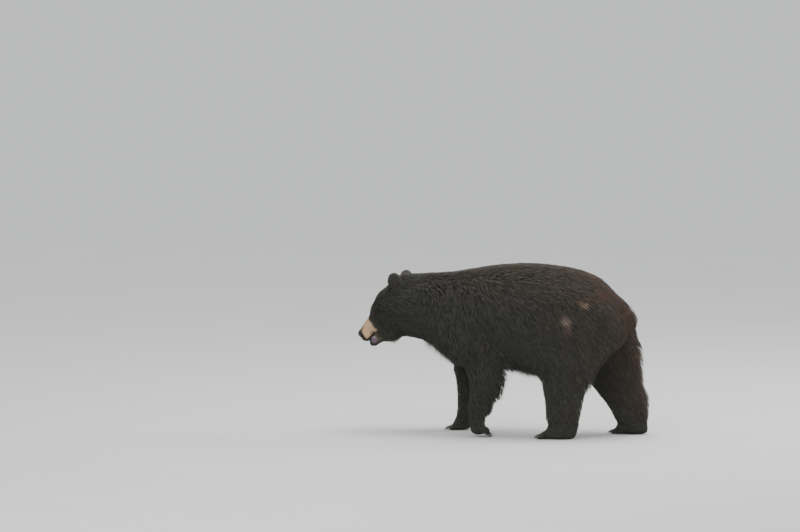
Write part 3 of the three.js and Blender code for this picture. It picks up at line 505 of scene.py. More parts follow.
def depth_at(points):
    """How deep the skin lies under the coat's tips."""
    depth = coat_facts(points, 1)[:, 0]
    near = inside_share(face_lie, points) > 0
    if near.any():
        forward, side, up = in_head(points[near])
        depth[near] += NOSE_BED * smooth_step(289, 298, forward) * smooth_step(34, 40, up)
        depth[near] *= 1 - LIP_BARE * hanging_lip(forward, side, up)
    return depth


def melt(a, b, blend):
    """The smaller of two distances, rounded where they are close."""
    near = np.maximum(blend - np.abs(a - b), 0) / blend
    return np.minimum(a, b) - near * near * blend / 4


def eye_axes(word):
    sign = -1 if word == "left" else 1
    out = head_turn(0.55, sign * 0.8, 0.24)
    along = head_turn(0.96, 0, -0.15)
    along = along - out * (along @ out)
    along /= np.linalg.norm(along)
    return np.stack([along, np.cross(out, along), out], 1)


eyeballs = {w: c - eye_axes(w)[:, 2] * EYE_SET / 1000 for w, c in eye_centres.items()}


LID_BLEND = 9  # mm, over which the lids swell out of the face
EYE_REACH = 0.04


def skin_distance(points):
    """Distance to the skin, with a swelling over each eyeball for its lids."""
    value = coat_distance(points) + depth_at(points)
    for centre in eyeballs.values():
        radius = np.linalg.norm(points - centre, axis=1)
        near = radius < EYE_REACH
        if near.any():
            lids = radius[near] * 1000 - EYE_RADIUS - LID_THICKNESS
            value[near] = melt(value[near] * 1000, lids, LID_BLEND) / 1000
    return value


SURFACE_MARGIN = 0.012


def grid_surface(function, low, high, step):
    """Quads and triangles where a function of points is 0, which is near the body's own surface."""
    first = np.floor(np.asarray(low) / step).astype(int)
    count = np.ceil(np.asarray(high) / step).astype(int) - first + 1
    field = Field(first * step, step, np.empty(count, np.float32))
    points = field.grid_points()
    value = body_shape.at(points)
    near = np.abs(value + INSIDE_BAND / 2) < INSIDE_BAND / 2 + SURFACE_MARGIN
    value[near] = function(points[near])
    volume = openvdb.FloatGrid(1.0)
    volume.transform = openvdb.createLinearTransform(voxelSize=step)
    volume.copyFromArray(value.reshape(count).astype(np.float32), ijk=tuple(first.tolist()))
    return volume.convertToPolygons(isovalue=0.0)


def bmesh_from(points, *face_lists):
    """A bmesh from arrays of points and faces, its faces outward."""
    made = bmesh.new()
    corners = [made.verts.new(p) for p in points.tolist()]
    for faces in face_lists:
        for face in faces.tolist():
            made.faces.new([corners[n] for n in face])
    bmesh.ops.recalc_face_normals(made, faces=made.faces)
    made.verts.index_update()
    return made


def join_rings(made, ring, following):
    """Faces between two rings of as many points."""
    for n in range(len(ring)):
        m = (n + 1) % len(ring)
        made.faces.new([ring[n], ring[m], following[m], following[n]])


def join_tip(made, ring, tip):
    """Faces from a ring of points to one point."""
    for n in range(len(ring)):
        made.faces.new([ring[n], ring[(n + 1) % len(ring)], tip])


SKIN_STEP = 0.007
SKIN_MARGIN = 2 * SKIN_STEP
shell = bmesh_from(*grid_surface(skin_distance, cad_low - SKIN_MARGIN, cad_high + SKIN_MARGIN, SKIN_STEP))


def shell_points():
    shell.verts.ensure_lookup_table()
    return np.array([v.co for v in shell.verts], float)


def skin_slope(points):
    return slope_of(skin_distance, points, 0.001)


def settle(turns, most=0.004):
    """Moves the shell's points onto the skin's surface."""
    place = shell_points()
    slope = skin_slope(place)
    for _ in range(turns):
        place -= slope * np.clip(skin_distance(place), -most, most)[:, None]
    for vertex, spot in zip(shell.verts, place.tolist()):
        vertex.co = spot


def halve_edges(wanted):
    """Divides the edges whose two ends are both wanted."""
    edges = [e for e in shell.edges if wanted[e.verts[0].index] and wanted[e.verts[1].index]]
    bmesh.ops.subdivide_edges(shell, edges=edges, cuts=1, use_grid_fill=True)
    shell.verts.index_update()


def from_eyes(place):
    """The distance to the middle of the nearer eyeball."""
    return np.min([np.linalg.norm(place - c, axis=1) for c in eyeballs.values()], 0)


# The paws and the face have edges half as long as the body's, the eyes and the mouth a quarter.
place = shell_points()
x, y, z = place.T
forward, side, up = in_head(place)
halve_edges((forward > 130) | (z < 0.085) | ((z < 0.12) & (x > -0.16) & (x < 0)))
settle(1)
place = shell_points()
forward, side, up = in_head(place)
halve_edges((from_eyes(place) < 0.026) | ((forward > 235) & (np.abs(up - 10) < 26)))
settle(2)


def slit_edge(angle):
    """Along and high of the opening's edge, an almond with its corners at angles 0 and half a turn."""
    high = np.sin(angle) * np.abs(np.sin(angle))
    return np.stack([EYE_SLIT[0] * np.cos(angle), EYE_SLIT[1] * high], 1)


def on_ball(flat, radius):
    """Points over flat places, on a ball of that radius round the eye."""
    return np.column_stack([flat, np.sqrt(np.maximum(radius**2 - (flat**2).sum(1), 0.01))])


LID_RINGS = 7
LID_HOLE = 1.03  # size of the hole cut for the lids, as a share of their reach
# Each lid's edge is drawn in over the eyeball in two more rings: size of the ring, and height over the ball.
LID_INSIDE = [(1.01, 0.15), (1.12, -0.6)]
# The crease in each lid and its thickened edge: height in mm, then place and width as shares of the lid.
LID_RELIEF = [(-0.8, 0.45, 0.16), (0.5, 0.86, 0.1)]


def open_lids(word):
    """Cuts the skin open over an eyeball and draws it in, ring by ring, to the edge of the lids."""
    axes, centre = eye_axes(word), eyeballs[word]
    place = (shell_points() - centre) @ axes * 1000
    over = (place[:, 0] / LID_REACH[0]) ** 2 + (place[:, 1] / LID_REACH[1]) ** 2 < 1
    over &= (place[:, 2] > 0) & (np.abs(place).max(1) < 30)
    faces = [f for f in shell.faces if any(over[v.index] for v in f.verts)]
    bmesh.ops.delete(shell, geom=faces, context="FACES")
    came = next(e for e in shell.edges if e.is_boundary)
    start, here = came.verts
    ring = [start]
    while here is not start:
        ring.append(here)
        came = next(e for e in here.link_edges if e.is_boundary and e is not came)
        here = came.other_vert(here)
    rim = (np.array([v.co for v in ring]) - centre) @ axes * 1000
    angle = np.unwrap(np.arctan2(rim[:, 1] / LID_REACH[1], rim[:, 0] / LID_REACH[0]))
    rim[:, 0] = LID_HOLE * LID_REACH[0] * np.cos(angle)
    rim[:, 1] = LID_HOLE * LID_REACH[1] * np.sin(angle)
    rim = centre + rim @ axes.T / 1000
    for _ in range(2):
        rim -= skin_slope(rim) * skin_distance(rim)[:, None]
    for vertex, spot in zip(ring, rim.tolist()):
        vertex.co = spot
    rim = (rim - centre) @ axes * 1000
    even = 2 * np.pi * np.arange(len(ring)) / len(ring) * np.sign(angle[-1] - angle[0])
    even += (angle - even).mean()
    slit = slit_edge(even)
    edge = on_ball(slit, EYE_RADIUS + LID_THICKNESS)
    rings = []
    for n in range(1, LID_RINGS):
        share = n / LID_RINGS
        spot = centre + (rim + share * (edge - rim)) @ axes.T / 1000
        for _ in range(3):
            spot -= skin_slope(spot) * skin_distance(spot)[:, None]
        spot = (spot - centre) @ axes * 1000
        low_lid = spot * (EYE_RADIUS + LID_THICKNESS) / np.linalg.norm(spot, axis=1, keepdims=True)
        spot += share**2 * (low_lid - spot)
        for height, middle, wide in LID_RELIEF:
            spot[:, 2] += height * np.exp(-(((share - middle) / wide) ** 2))
        rings.append(spot)
    rings += [edge, *(on_ball(slit * size, EYE_RADIUS + height) for size, height in LID_INSIDE)]
    for spots in rings:
        spots = centre + spots @ axes.T / 1000
        inner = [shell.verts.new(spot) for spot in spots.tolist()]
        join_rings(shell, ring, inner)
        ring = inner
    shell.faces.new(ring)
    shell.verts.index_update()


for word in eyeballs:
    open_lids(word)

# The ears are cupped shells of skin that stand up out of the fur. The profile runs from the middle of an
# ear's back, round its rim, to the middle of its hollow: distance from the middle and forward, in mm.
EAR_PROFILE = [
    (0, -10), (10, -9.8), (20, -8), (28, -4.6), (33, -0.5), (35.6, 3.4), (36, 6), (34.8, 7.4), (32.6, 7),
    (29.6, 4.6), (25, 2.4), (17, 0.8), (8, 0.2), (0, 0),
]
EAR_STEPS = 40
EAR_RADIUS = 36
EAR_PLACE = (-56, 88, 88)  # forward, to its side, and up
EAR_LEAN = (0.12, 0.26, 0.95)  # which way it stands up: to the rear, outwards, up
# The left ear is turned out to the side, the right one more forward.
EAR_FACING = {"left": (-0.12, -0.98, 0.12), "right": (-0.62, 0.77, 0.12)}
EAR_ROOT = 0.38  # how much longer the ear's buried lower half is
EAR_THICKENING, EAR_CUPPING = 5, 3.5


def add_ear(word):
    sign = -1 if word == "left" else 1
    upward = np.array([EAR_LEAN[0], sign * EAR_LEAN[1], EAR_LEAN[2]])
    upward /= np.linalg.norm(upward)
    ahead = np.array(EAR_FACING[word])
    ahead -= upward * (ahead @ upward)
    ahead /= np.linalg.norm(ahead)
    axes = np.stack([np.cross(ahead, upward), upward, ahead], 1)
    middle = head_place(EAR_PLACE[0], sign * EAR_PLACE[1], EAR_PLACE[2])
    turn = 2 * np.pi * np.arange(EAR_STEPS) / EAR_STEPS
    wide, tall = np.cos(turn), np.sin(turn)
    low = smooth_step(0.1, -0.9, tall)
    rings = []
    for reach, forward in EAR_PROFILE[1:-1]:
        outward = 1 if forward < 0 else -1
        curve = EAR_THICKENING * outward * low * (reach / EAR_RADIUS) ** 2
        curve -= EAR_CUPPING * (np.abs(wide) * reach / EAR_RADIUS) ** 2
        spots = np.stack([wide * reach, tall * reach * (1 + EAR_ROOT * low), forward + curve], 1)
        rings.append([shell.verts.new(middle + axes @ spot / 1000) for spot in spots])
    for ring, following in zip(rings, rings[1:]):
        join_rings(shell, ring, following)
    for ring, forward in ((rings[0], EAR_PROFILE[0][1]), (rings[-1], EAR_PROFILE[-1][1])):
        join_tip(shell, ring, shell.verts.new(middle + axes @ np.array([0, 0, forward]) / 1000))


first_ear_point = len(shell.verts)
for word in ("left", "right"):
    add_ear(word)
bmesh.ops.triangulate(shell, faces=shell.faces)
bmesh.ops.recalc_face_normals(shell, faces=shell.faces)
shell.verts.index_update()
skin_mesh = bpy.data.meshes.new("skin")
shell.to_mesh(skin_mesh)
shell.free()
skin_mesh.shade_smooth()
skin = bpy.data.objects.new("skin", skin_mesh)
bpy.context.scene.collection.objects.link(skin)


def mesh_numbers(mesh):
    """A triangle mesh's points, corner indices and faces' middles, normals and areas."""
    place = np.empty(len(mesh.vertices) * 3, np.float32)
    mesh.vertices.foreach_get("co", place)
    corners = np.empty(len(mesh.loops), np.int32)
    mesh.loops.foreach_get("vertex_index", corners)
    place, corners = place.reshape(-1, 3).astype(float), corners.reshape(-1, 3)
    a, b, c = (place[corners[:, n]] for n in range(3))
    normal = np.cross(b - a, c - a)
    area = np.linalg.norm(normal, axis=1)
    return place, corners, (a + b + c) / 3, normal / np.maximum(area, 1e-12)[:, None], area / 2


skin_place, skin_corners, skin_middles, skin_normals, skin_areas = mesh_numbers(skin_mesh)
skin_ears = skin_corners.min(1) >= first_ear_point

# Unwrap: the faces of each part of the body that look the same way are laid flat side by side, and all the
# flat patches are set in rows in one square.
FRONT_OF_TRUNK, MIDDLE_OF_TRUNK, TOP_OF_LEGS = -0.42, 0.04, 0.33
FRONT_OF_FORELEGS, FRONT_OF_HINDLEGS = -0.33, 0.12
PATCH_GAP = 0.012
ROW_SLACK = 1.08  # rows are this much longer than the side of a square that the patches would fill


def skin_patches():
    """A number for each triangle's patch, and the axis that it mostly faces along."""
    x, y, z = skin_middles.T
    part = np.where(x < FRONT_OF_TRUNK, 0, np.where(x < MIDDLE_OF_TRUNK, 1, 2))
    leg = 3 + (y > 0) + 2 * (x > FRONT_OF_HINDLEGS)
    part = np.where((z < TOP_OF_LEGS) & (x > FRONT_OF_FORELEGS), leg, part)
    part = np.where(skin_ears, 7 + (y > 0), part)
    axis = np.abs(skin_normals).argmax(1)
    sign = np.take_along_axis(skin_normals, axis[:, None], 1)[:, 0] > 0
    inward = (axis == 1) & (sign != (y > 0))
    return ((part * 3 + axis) * 2 + sign) * 2 + inward, axis


def unwrap_skin():
    """One UV place for each corner of each skin triangle."""
    patch, axis = skin_patches()
    flat_axes = np.array([[1, 2], [0, 2], [0, 1]])[axis]
    spots = skin_place[skin_corners]
    uv = np.take_along_axis(spots, np.repeat(flat_axes[:, None, :], 3, 1), 2)
    sizes = []
    for name in np.unique(patch):
        mine = uv[patch == name].reshape(-1, 2)
        sizes.append((name, mine.min(0), mine.max(0) - mine.min(0)))
    sizes.sort(key=lambda row: -row[2][1])
    width = math.sqrt(sum((w + PATCH_GAP) * (h + PATCH_GAP) for _, _, (w, h) in sizes)) * ROW_SLACK
    across = along = row_height = 0.0
    for name, low, (wide, high) in sizes:
        if across + wide + PATCH_GAP > width:
            across, along, row_height = 0.0, along + row_height + PATCH_GAP, 0.0
        uv[patch == name] += np.array([across + PATCH_GAP / 2, along + PATCH_GAP / 2]) - low
        across, row_height = across + wide + PATCH_GAP, max(row_height, high)
    return uv / max(width, along + row_height + PATCH_GAP)


skin_uv = unwrap_skin()
skin_mesh.uv_layers.new(name="OFBake").data.foreach_set("uv", skin_uv.astype(np.float32).ravel())


def linear(hex_colour):
    """An sRGB hex colour as three linear numbers."""
    parts = [int(hex_colour[n : n + 2], 16) / 255 for n in (0, 2, 4)]
    return np.array([p / 12.92 if p <= 0.04045 else ((p + 0.055) / 1.055) ** 2.4 for p in parts])


BLACK_COAT = linear("3b3a34")
# the brown of the back and rear: sun-bleached hair, and painted backlight along the rims of the rump and
# thighs
BROWN_COAT = linear("533c2f")
MUZZLE_TAN = linear("debb96")
MUZZLE_EDGE = linear("6e5743")
JAW_OLIVE = linear("6f6853")
LIP_BLACK = linear("1b1718")
FRONT_BLACK = linear("332b23")
MOUTH_GREY = linear("62505a")
# a painted highlight on the wet lower lip
PAINTED_LIP_GLINT = linear("9a9192")
SOLE_BLACK = linear("1d1b1b")
# Where old hair has been shed on the left side: x, z, half width, half height in mm, colour and strength.
SHED_HAIR = [
    (474, 690, 9, 6, "b79c83", 0.85),
    (455, 700, 20, 6, "7d5f4a", 0.45),
    (378, 607, 15, 15, "a38c80", 0.75),
    (394, 560, 15, 20, "66504a", 0.5),
    (543, 738, 26, 18, "62432f", 0.45),
    (505, 715, 36, 9, "5a4233", 0.35),
    (459, 442, 6, 9, "6f5a4d", 0.4),
    (284, 584, 6, 18, "5c4c42", 0.35),
    (128, 664, 14, 9, "5a4c44", 0.35),
]


def ripple(points, length):
    """A slow uneven wave from -1 to 1 over the body, length in metres."""
    x, y, z = points.T * (2 * math.pi / length)
    first, second = np.sin(x + 1.7 * np.sin(0.61 * z)), np.sin(1.3 * z + 1.9 * np.sin(0.7 * y))
    return (first + second + np.sin(0.9 * y + 1.3 * x)) / 3


def mixed(colour, share, other):
    """The colour, drawn towards the other by a share at each point."""
    return colour + share[:, None] * (other - colour)


def markings(points):
    """The colour of skin and coat at each point: black, with a brown rear, partly sun-bleached and partly
    painted backlight on its rims, and a tan muzzle.
    """
    forward, side, up = in_head(points)
    # brown: partly sun-bleached hair, partly painted backlight on the rear rims
    brown = np.clip(coat_facts(points)[:, 5] * (1 + 0.35 * ripple(points, 0.19)), 0, 1)
    colour = mixed(BLACK_COAT, brown, BROWN_COAT)
    x, y, z = points.T * 1000
    for place_x, place_z, wide, high, shade, most in SHED_HAIR:
        patch = np.exp(-0.5 * ((x - place_x) / wide) ** 2 - 0.5 * ((z - place_z) / high) ** 2)
        colour = mixed(colour, most * patch * (y < -60), linear(shade))
    on_head = smooth_step(-0.40, -0.46, points[:, 0])
    above_mouth = up > MOUTH_FLOOR
    # tan muzzle, browner along the mouth, and darker on its bridge next to the nose
    edge = 0.5 * smooth_step(22, 6, up) * smooth_step(225, 250, forward) + 0.3 * smooth_step(66, 80, up)
    tan = mixed(MUZZLE_TAN, edge, MUZZLE_EDGE)
    bridge = 0.85 * smooth_step(-9, 5, up - 76 + 0.6 * (forward - 249)) * smooth_step(226, 256, forward)
    tan = mixed(tan, bridge, MUZZLE_EDGE)
    brow = 211 + 0.16 * (80 - up)
    muzzle = smooth_step(brow - 7, brow + 7, forward + 2.5 * ripple(points, 0.031)) * above_mouth
    colour = mixed(colour, muzzle * on_head, tan)
    # an olive tinge on the lower jaw, and a brown ring round the corner of the mouth
    jaw = 0.5 * np.exp(-0.5 * (((forward - 252) / 11) ** 2 + ((up + 36) / 14) ** 2)) * on_head
    colour = mixed(colour, jaw, JAW_OLIVE)
    from_corner = np.hypot(forward - MOUTH_CORNER - 10, up - MOUTH_FLOOR)
    ring = 0.55 * np.exp(-(((from_corner - 13) / 5) ** 2)) * (forward < 262) * (up > -16) * on_head
    colour = mixed(colour, ring, MUZZLE_EDGE)
    # black round the nose and along the lips
    front = smooth_step(288, 300, forward + 0.1 * (up - 20)) * above_mouth * on_head
    colour = mixed(colour, front, FRONT_BLACK)
    gape = (forward - MOUTH_CORNER) * MOUTH_SLOPE
    lip = smooth_step(7, 3, np.abs(up - MOUTH_FLOOR) - gape) * smooth_step(232, 246, forward)
    colour = mixed(colour, lip * on_head, LIP_BLACK)
    # the bare lip, with a painted highlight of pale grey where its wet surface would catch the light
    hanging = hanging_lip(forward, side, up) * on_head
    colour = mixed(colour, 0.9 * hanging, MOUTH_GREY)
    # painted highlight: a small pale spot near the mouth's corner
    painted_glint = np.exp(-(np.hypot(forward - 262, up + 10) / 6) ** 2) * hanging
    return mixed(colour, painted_glint, PAINTED_LIP_GLINT)


def sole_share(points, normals):
    """1 on the bare soles of the paws."""
    down = smooth_step(-0.45, -0.75, normals[:, 2]) * (points[:, 2] < 0.03)
    x, y, z = points.T
    trailing = (x > -0.16) & (x < -0.02) & (y < -0.08) & (z < 0.125)
    toes = normals @ np.array([0.86, 0, -0.5])
    return np.where(trailing, smooth_step(0.55, 0.8, toes), down)


def paint(mesh, colours):
    """Gives the mesh its markings, one colour a point."""
    layer = mesh.color_attributes.new(name="coat_colour", type="FLOAT_COLOR", domain="POINT")
    colours = np.column_stack([colours, np.ones(len(colours))])
    layer.data.foreach_set("color", colours.astype(np.float32).ravel())


# Painted shade: the whole skin is drawn a fifth darker than its markings, for the skin seen deep between the
# tufts; the bare lips, lids and soles get it too.
UNDERFUR_PAINTED_SHADE = 0.8
point_normals = np.empty(len(skin_mesh.vertices) * 3, np.float32)
skin_mesh.vertex_normals.foreach_get("vector", point_normals)
soles = sole_share(skin_place, point_normals.reshape(-1, 3))
lid_rims = smooth_step(0.0155, 0.0125, from_eyes(skin_place))
skin_colours = mixed(markings(skin_place), soles, SOLE_BLACK)
paint(skin_mesh, mixed(skin_colours, lid_rims, LIP_BLACK) * UNDERFUR_PAINTED_SHADE)


def add_node(material, kind, settings=None, **sockets):
    """Adds a node and returns its outputs.

    Each socket, by name or by number as n0, gets a value, a hex colour or a link from another node's output.
    """
    node = material.node_tree.nodes.new(kind)
    for name, value in (settings or {}).items():
        setattr(node, name, value)
    for name, value in sockets.items():
        by_number = name[0] == "n" and name[1:].isdigit()
        socket = node.inputs[int(name[1:]) if by_number else name.replace("_", " ")]
        if isinstance(value, bpy.types.NodeSocket):
            material.node_tree.links.new(value, socket)
        else:
            socket.default_value = (*linear(value), 1) if isinstance(value, str) else value
    return node.outputs


def new_material(name):
    material = bpy.data.materials.new(name)
    material.use_nodes = True
    material.node_tree.nodes.clear()
    return material


def skin_under_fur():
    # Skin with fine underfur: dull, dark, with the grain of short hair 1 mm apart, so that what shows between
    # the tufts reads as more fur. Soles and lips are the same skin, bare.
    material = new_material("bear_skin_underfur")
    colour = add_node(material, "ShaderNodeAttribute", {"attribute_name": "coat_colour"})["Color"]
    place = add_node(material, "ShaderNodeTexCoord")["Object"]
    stretched = add_node(material, "ShaderNodeMapping", n0=place, Scale=(1.0, 1.0, 0.35))[0]
    grain = add_node(material, "ShaderNodeTexNoise", Vector=stretched, Scale=900.0, Detail=3.0)[0]
    shade = add_node(material, "ShaderNodeMapRange", Value=grain, To_Min=0.7, To_Max=1.3)[0]
    tinted = add_node(material, "ShaderNodeVectorMath", {"operation": "SCALE"}, n0=colour, Scale=shade)[0]
    bump = add_node(material, "ShaderNodeBump", Height=grain, Strength=0.5, Distance=0.0008)[0]
    shader = add_node(
        material, "ShaderNodeBsdfPrincipled", Base_Color=tinted, Roughness=0.6, IOR=1.5, Normal=bump,
        Specular_IOR_Level=0.3,
    )
    add_node(material, "ShaderNodeOutputMaterial", Surface=shader[0])
    return material


skin_mesh.materials.append(skin_under_fur())
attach(skin, "root")
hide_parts(*[n for n in FLESH if n != "nose"])


# ---------------------------------------------------------------- nose
# The nose pad: bare, moist, finely pebbled leather at the front of the muzzle, with two nostrils that run out
# to the sides in slits, and a groove down the middle. It grows out of the skin, so it has no edge that lifts.

NOSE_STEP = 0.0015
NOSE_SWELL = 0.6  # mm over the solid
GROOVE_DEPTH, GROOVE_WIDTH = 1.4, 1.1
# The round hole and the slit of each nostril: place (forward, to the side, up) and half sizes, mm.
NOSTRILS = [((321, 9.4, 58.5), (10, 4.0, 5.2)), ((316, 16.5, 53.5), (8, 3.8, 1.8))]


def nose_distance(points):
    """Distance to the nose pad: the coat's shape in front of a back and above a floor, with holes cut in."""
    forward, side, up = in_head(points)
    value = coat_distance(points) * 1000 - NOSE_SWELL
    back = (296 - forward - 0.3 * (up - 60) + 0.05 * np.abs(side)) / 1.05
    floor = 40 - up + 0.1 * (forward - 303)
    edge = -melt(-back, -floor, 3)
    value = -melt(-value, -edge, 5)
    value = value + GROOVE_DEPTH * np.exp(-((side / GROOVE_WIDTH) ** 2)) * smooth_step(60, 54, up)
    for (ahead, across, high), (long, wide, tall) in NOSTRILS:
        away = ((forward - ahead) / long) ** 2
        away += ((np.abs(side) - across) / wide) ** 2 + ((up - high) / tall) ** 2
        value = -melt(-value, (np.sqrt(away) - 1) * min(wide, tall), 1.5)
    return value / 1000


def object_from(name, made):
    """A smooth object from a bmesh."""
    mesh = bpy.data.meshes.new(name)
    bmesh.ops.recalc_face_normals(made, faces=made.faces)
    made.to_mesh(mesh)
    made.free()
    mesh.shade_smooth()
    piece = bpy.data.objects.new(name, mesh)
    bpy.context.scene.collection.objects.link(piece)
    return piece


NOSE_MARGIN = 0.008
nose_surface = grid_surface(nose_distance, *boxes(["nose"], NOSE_MARGIN), NOSE_STEP)
nose = object_from("nose_pad", bmesh_from(*nose_surface))


def nose_leather():
    # Moist black leather: pebbles about 1.2 mm across, shiny where wet and duller in the furrows.
    material = new_material("moist_nose_leather")
    place = add_node(material, "ShaderNodeTexCoord")["Object"]
    pebbles = add_node(material, "ShaderNodeTexVoronoi", Vector=place, Scale=850.0)["Distance"]
    rough = add_node(material, "ShaderNodeMapRange", Value=pebbles, To_Min=0.3, To_Max=0.55)[0]
    height = add_node(material, "ShaderNodeMath", {"operation": "MULTIPLY"}, n0=pebbles, n1=-1.0)[0]
    bump = add_node(material, "ShaderNodeBump", Height=height, Strength=0.6, Distance=0.0004)[0]
    tone = add_node(material, "ShaderNodeMixRGB", Fac=pebbles, Color1="1b1819", Color2="0e0c0d")[0]
    shader = add_node(
        material, "ShaderNodeBsdfPrincipled", Base_Color=tone, Roughness=rough, IOR=1.5, Normal=bump,
        Specular_IOR_Level=0.3, Coat_Weight=0.08,
    )
    add_node(material, "ShaderNodeOutputMaterial", Surface=shader[0])
    return material


nose.data.materials.append(nose_leather())
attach(nose, "root")
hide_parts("nose")


# ---------------------------------------------------------------- tongue
# The tip of the tongue, a wet grey-pink muscle that lies in the lower jaw and just shows in the open mouth.

TONGUE_STEP = 0.0008
TONGUE_ROUNDING = 0.8  # steps


def rounded_solid(name, step, bell):
    """The solid's own shape with its facets rounded."""
    points, faces = solid_mesh([name])
    spacing = openvdb.createLinearTransform(voxelSize=step)
    volume = openvdb.FloatGrid.createLevelSetFromPolygons(
        points, triangles=faces, transform=spacing, exBandWidth=8, inBandWidth=8
    )
    low = np.floor(points.min(0) / step).astype(int) - 5
    values = np.empty(np.ceil(points.max(0) / step).astype(int) + 6 - low, np.float32)
    volume.copyToArray(values, ijk=tuple(low.tolist()))
    rounded = openvdb.FloatGrid(1.0)
    rounded.transform = spacing
    rounded.copyFromArray(blurred(values, bell).astype(np.float32), ijk=tuple(low.tolist()))
    return rounded.convertToPolygons(isovalue=0.0)


tongue = object_from("tongue_tip", bmesh_from(*rounded_solid("tongue", TONGUE_STEP, TONGUE_ROUNDING)))


def wet_tongue():
    # Wet tissue: soft, slightly see-through, with papillae about 0.8 mm apart.
    material = new_material("wet_tongue")
    place = add_node(material, "ShaderNodeTexCoord")["Object"]
    papillae = add_node(material, "ShaderNodeTexVoronoi", Vector=place, Scale=1200.0)["Distance"]
    bump = add_node(material, "ShaderNodeBump", Height=papillae, Strength=0.4, Distance=0.0004)[0]
    tone = add_node(material, "ShaderNodeMixRGB", Fac=papillae, Color1="8d6b70", Color2="75565d")[0]
    shader = add_node(
        material, "ShaderNodeBsdfPrincipled", Base_Color=tone, Roughness=0.35, IOR=1.4, Normal=bump,
        Subsurface_Weight=0.1, Subsurface_Scale=0.003, Coat_Weight=0.3,
    )
    add_node(material, "ShaderNodeOutputMaterial", Surface=shader[0])
    return material


tongue.data.materials.append(wet_tongue())
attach(tongue, "root")
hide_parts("tongue")


# ---------------------------------------------------------------- eyes
# Two small dark brown eyes. Each is a ball with a slight bulge for the cornea, set behind its lids. The iris
# is nearly as dark as the round pupil.

EYE_TURNS, EYE_ROWS = 48, 32
CORNEA_BULGE, CORNEA_REACH = 0.05, 0.45  # share of the radius, and radians from the pupil's middle


def eyeball(word):
    axes, centre = eye_axes(word), eyeballs[word]
    ball = bmesh.new()
    bmesh.ops.create_uvsphere(ball, u_segments=EYE_TURNS, v_segments=EYE_ROWS, radius=EYE_RADIUS)
    turned = []
    for vertex in ball.verts:
        spot = np.array(vertex.co)
        from_pupil = math.acos(max(-1, min(1, spot[2] / EYE_RADIUS)))
        turned.append(from_pupil)
        spot = spot * (1 + CORNEA_BULGE * math.exp(-((from_pupil / CORNEA_REACH) ** 2)))
        vertex.co = centre + axes @ spot / 1000
    piece = object_from(f"eyeball_{word}", ball)
    layer = piece.data.attributes.new("from_pupil", "FLOAT", "POINT")
    layer.data.foreach_set("value", np.array(turned, np.float32))
    return piece


def wet_eye():
    # A living eye: the clear wet cornea gives one sharp highlight over a dark brown iris. Angles from the
    # middle of the pupil are in radians.
    material = new_material("wet_dark_eye")
    angle = add_node(material, "ShaderNodeAttribute", {"attribute_name": "from_pupil"})["Fac"]
    place = add_node(material, "ShaderNodeTexCoord")["Object"]
    fibres = add_node(material, "ShaderNodeTexNoise", Vector=place, Scale=900.0, Detail=2.0)[0]
    iris = add_node(material, "ShaderNodeMixRGB", Fac=fibres, Color1="1c1009", Color2="3d2413")[0]
    pupil = add_node(material, "ShaderNodeMapRange", Value=angle, From_Min=0.3, From_Max=0.35)[0]
    middle = add_node(material, "ShaderNodeMixRGB", Fac=pupil, Color1="060504", Color2=iris)[0]
    rim = add_node(material, "ShaderNodeMapRange", Value=angle, From_Min=0.7, From_Max=0.8)[0]
    tone = add_node(material, "ShaderNodeMixRGB", Fac=rim, Color1=middle, Color2="1a110c")[0]
    shader = add_node(
        material, "ShaderNodeBsdfPrincipled", Base_Color=tone, Roughness=0.1, IOR=1.38,
        Specular_IOR_Level=0.25, Coat_Weight=0.15, Coat_Roughness=0.03,
    )
    add_node(material, "ShaderNodeOutputMaterial", Surface=shader[0])
    return material


eye_material = wet_eye()
for word in ("left", "right"):
    eye = eyeball(word)
    eye.data.materials.append(eye_material)
    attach(eye, "root")
    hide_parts(f"eye_{word}")


# ---------------------------------------------------------------- claws
# Five short, strongly curved claws on each paw, of dark horn, grooved along their length and worn paler at
# the tip. Each grows out of its toe and follows the line of its solid.

CLAW_TURNS, CLAW_ROWS = 14, 14
CLAW_NODES = sorted(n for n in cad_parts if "_claw_" in n)


def claw_line(node):
    """A claw's root, middle and tip, its sideways direction, and half its width and height at the root."""
    place = np.unique(np.round(solid_mesh([node])[0], 6), axis=0)
    middle = place.mean(0)
    tip = place[np.linalg.norm(place - middle, axis=1).argmax()]
    away = np.linalg.norm(place - tip, axis=1)
    far = place[away > away.max() * 0.82]
    half = place[(away > away.max() * 0.2) & (away < away.max() * 0.75)]
    root, half_way = far.mean(0), half.mean(0)
    sideways = np.cross(half_way - root, tip - half_way)
    if np.linalg.norm(sideways) < 1e-7:
        sideways = np.array([0, 1.0, 0])
    sideways /= np.linalg.norm(sideways)
    rise = np.cross(sideways, half_way - root)
    rise /= np.linalg.norm(rise)
    half_width, half_height = (np.abs((far - root) @ way).max() for way in (sideways, rise))
    return root, half_way, tip, sideways, half_width, half_height


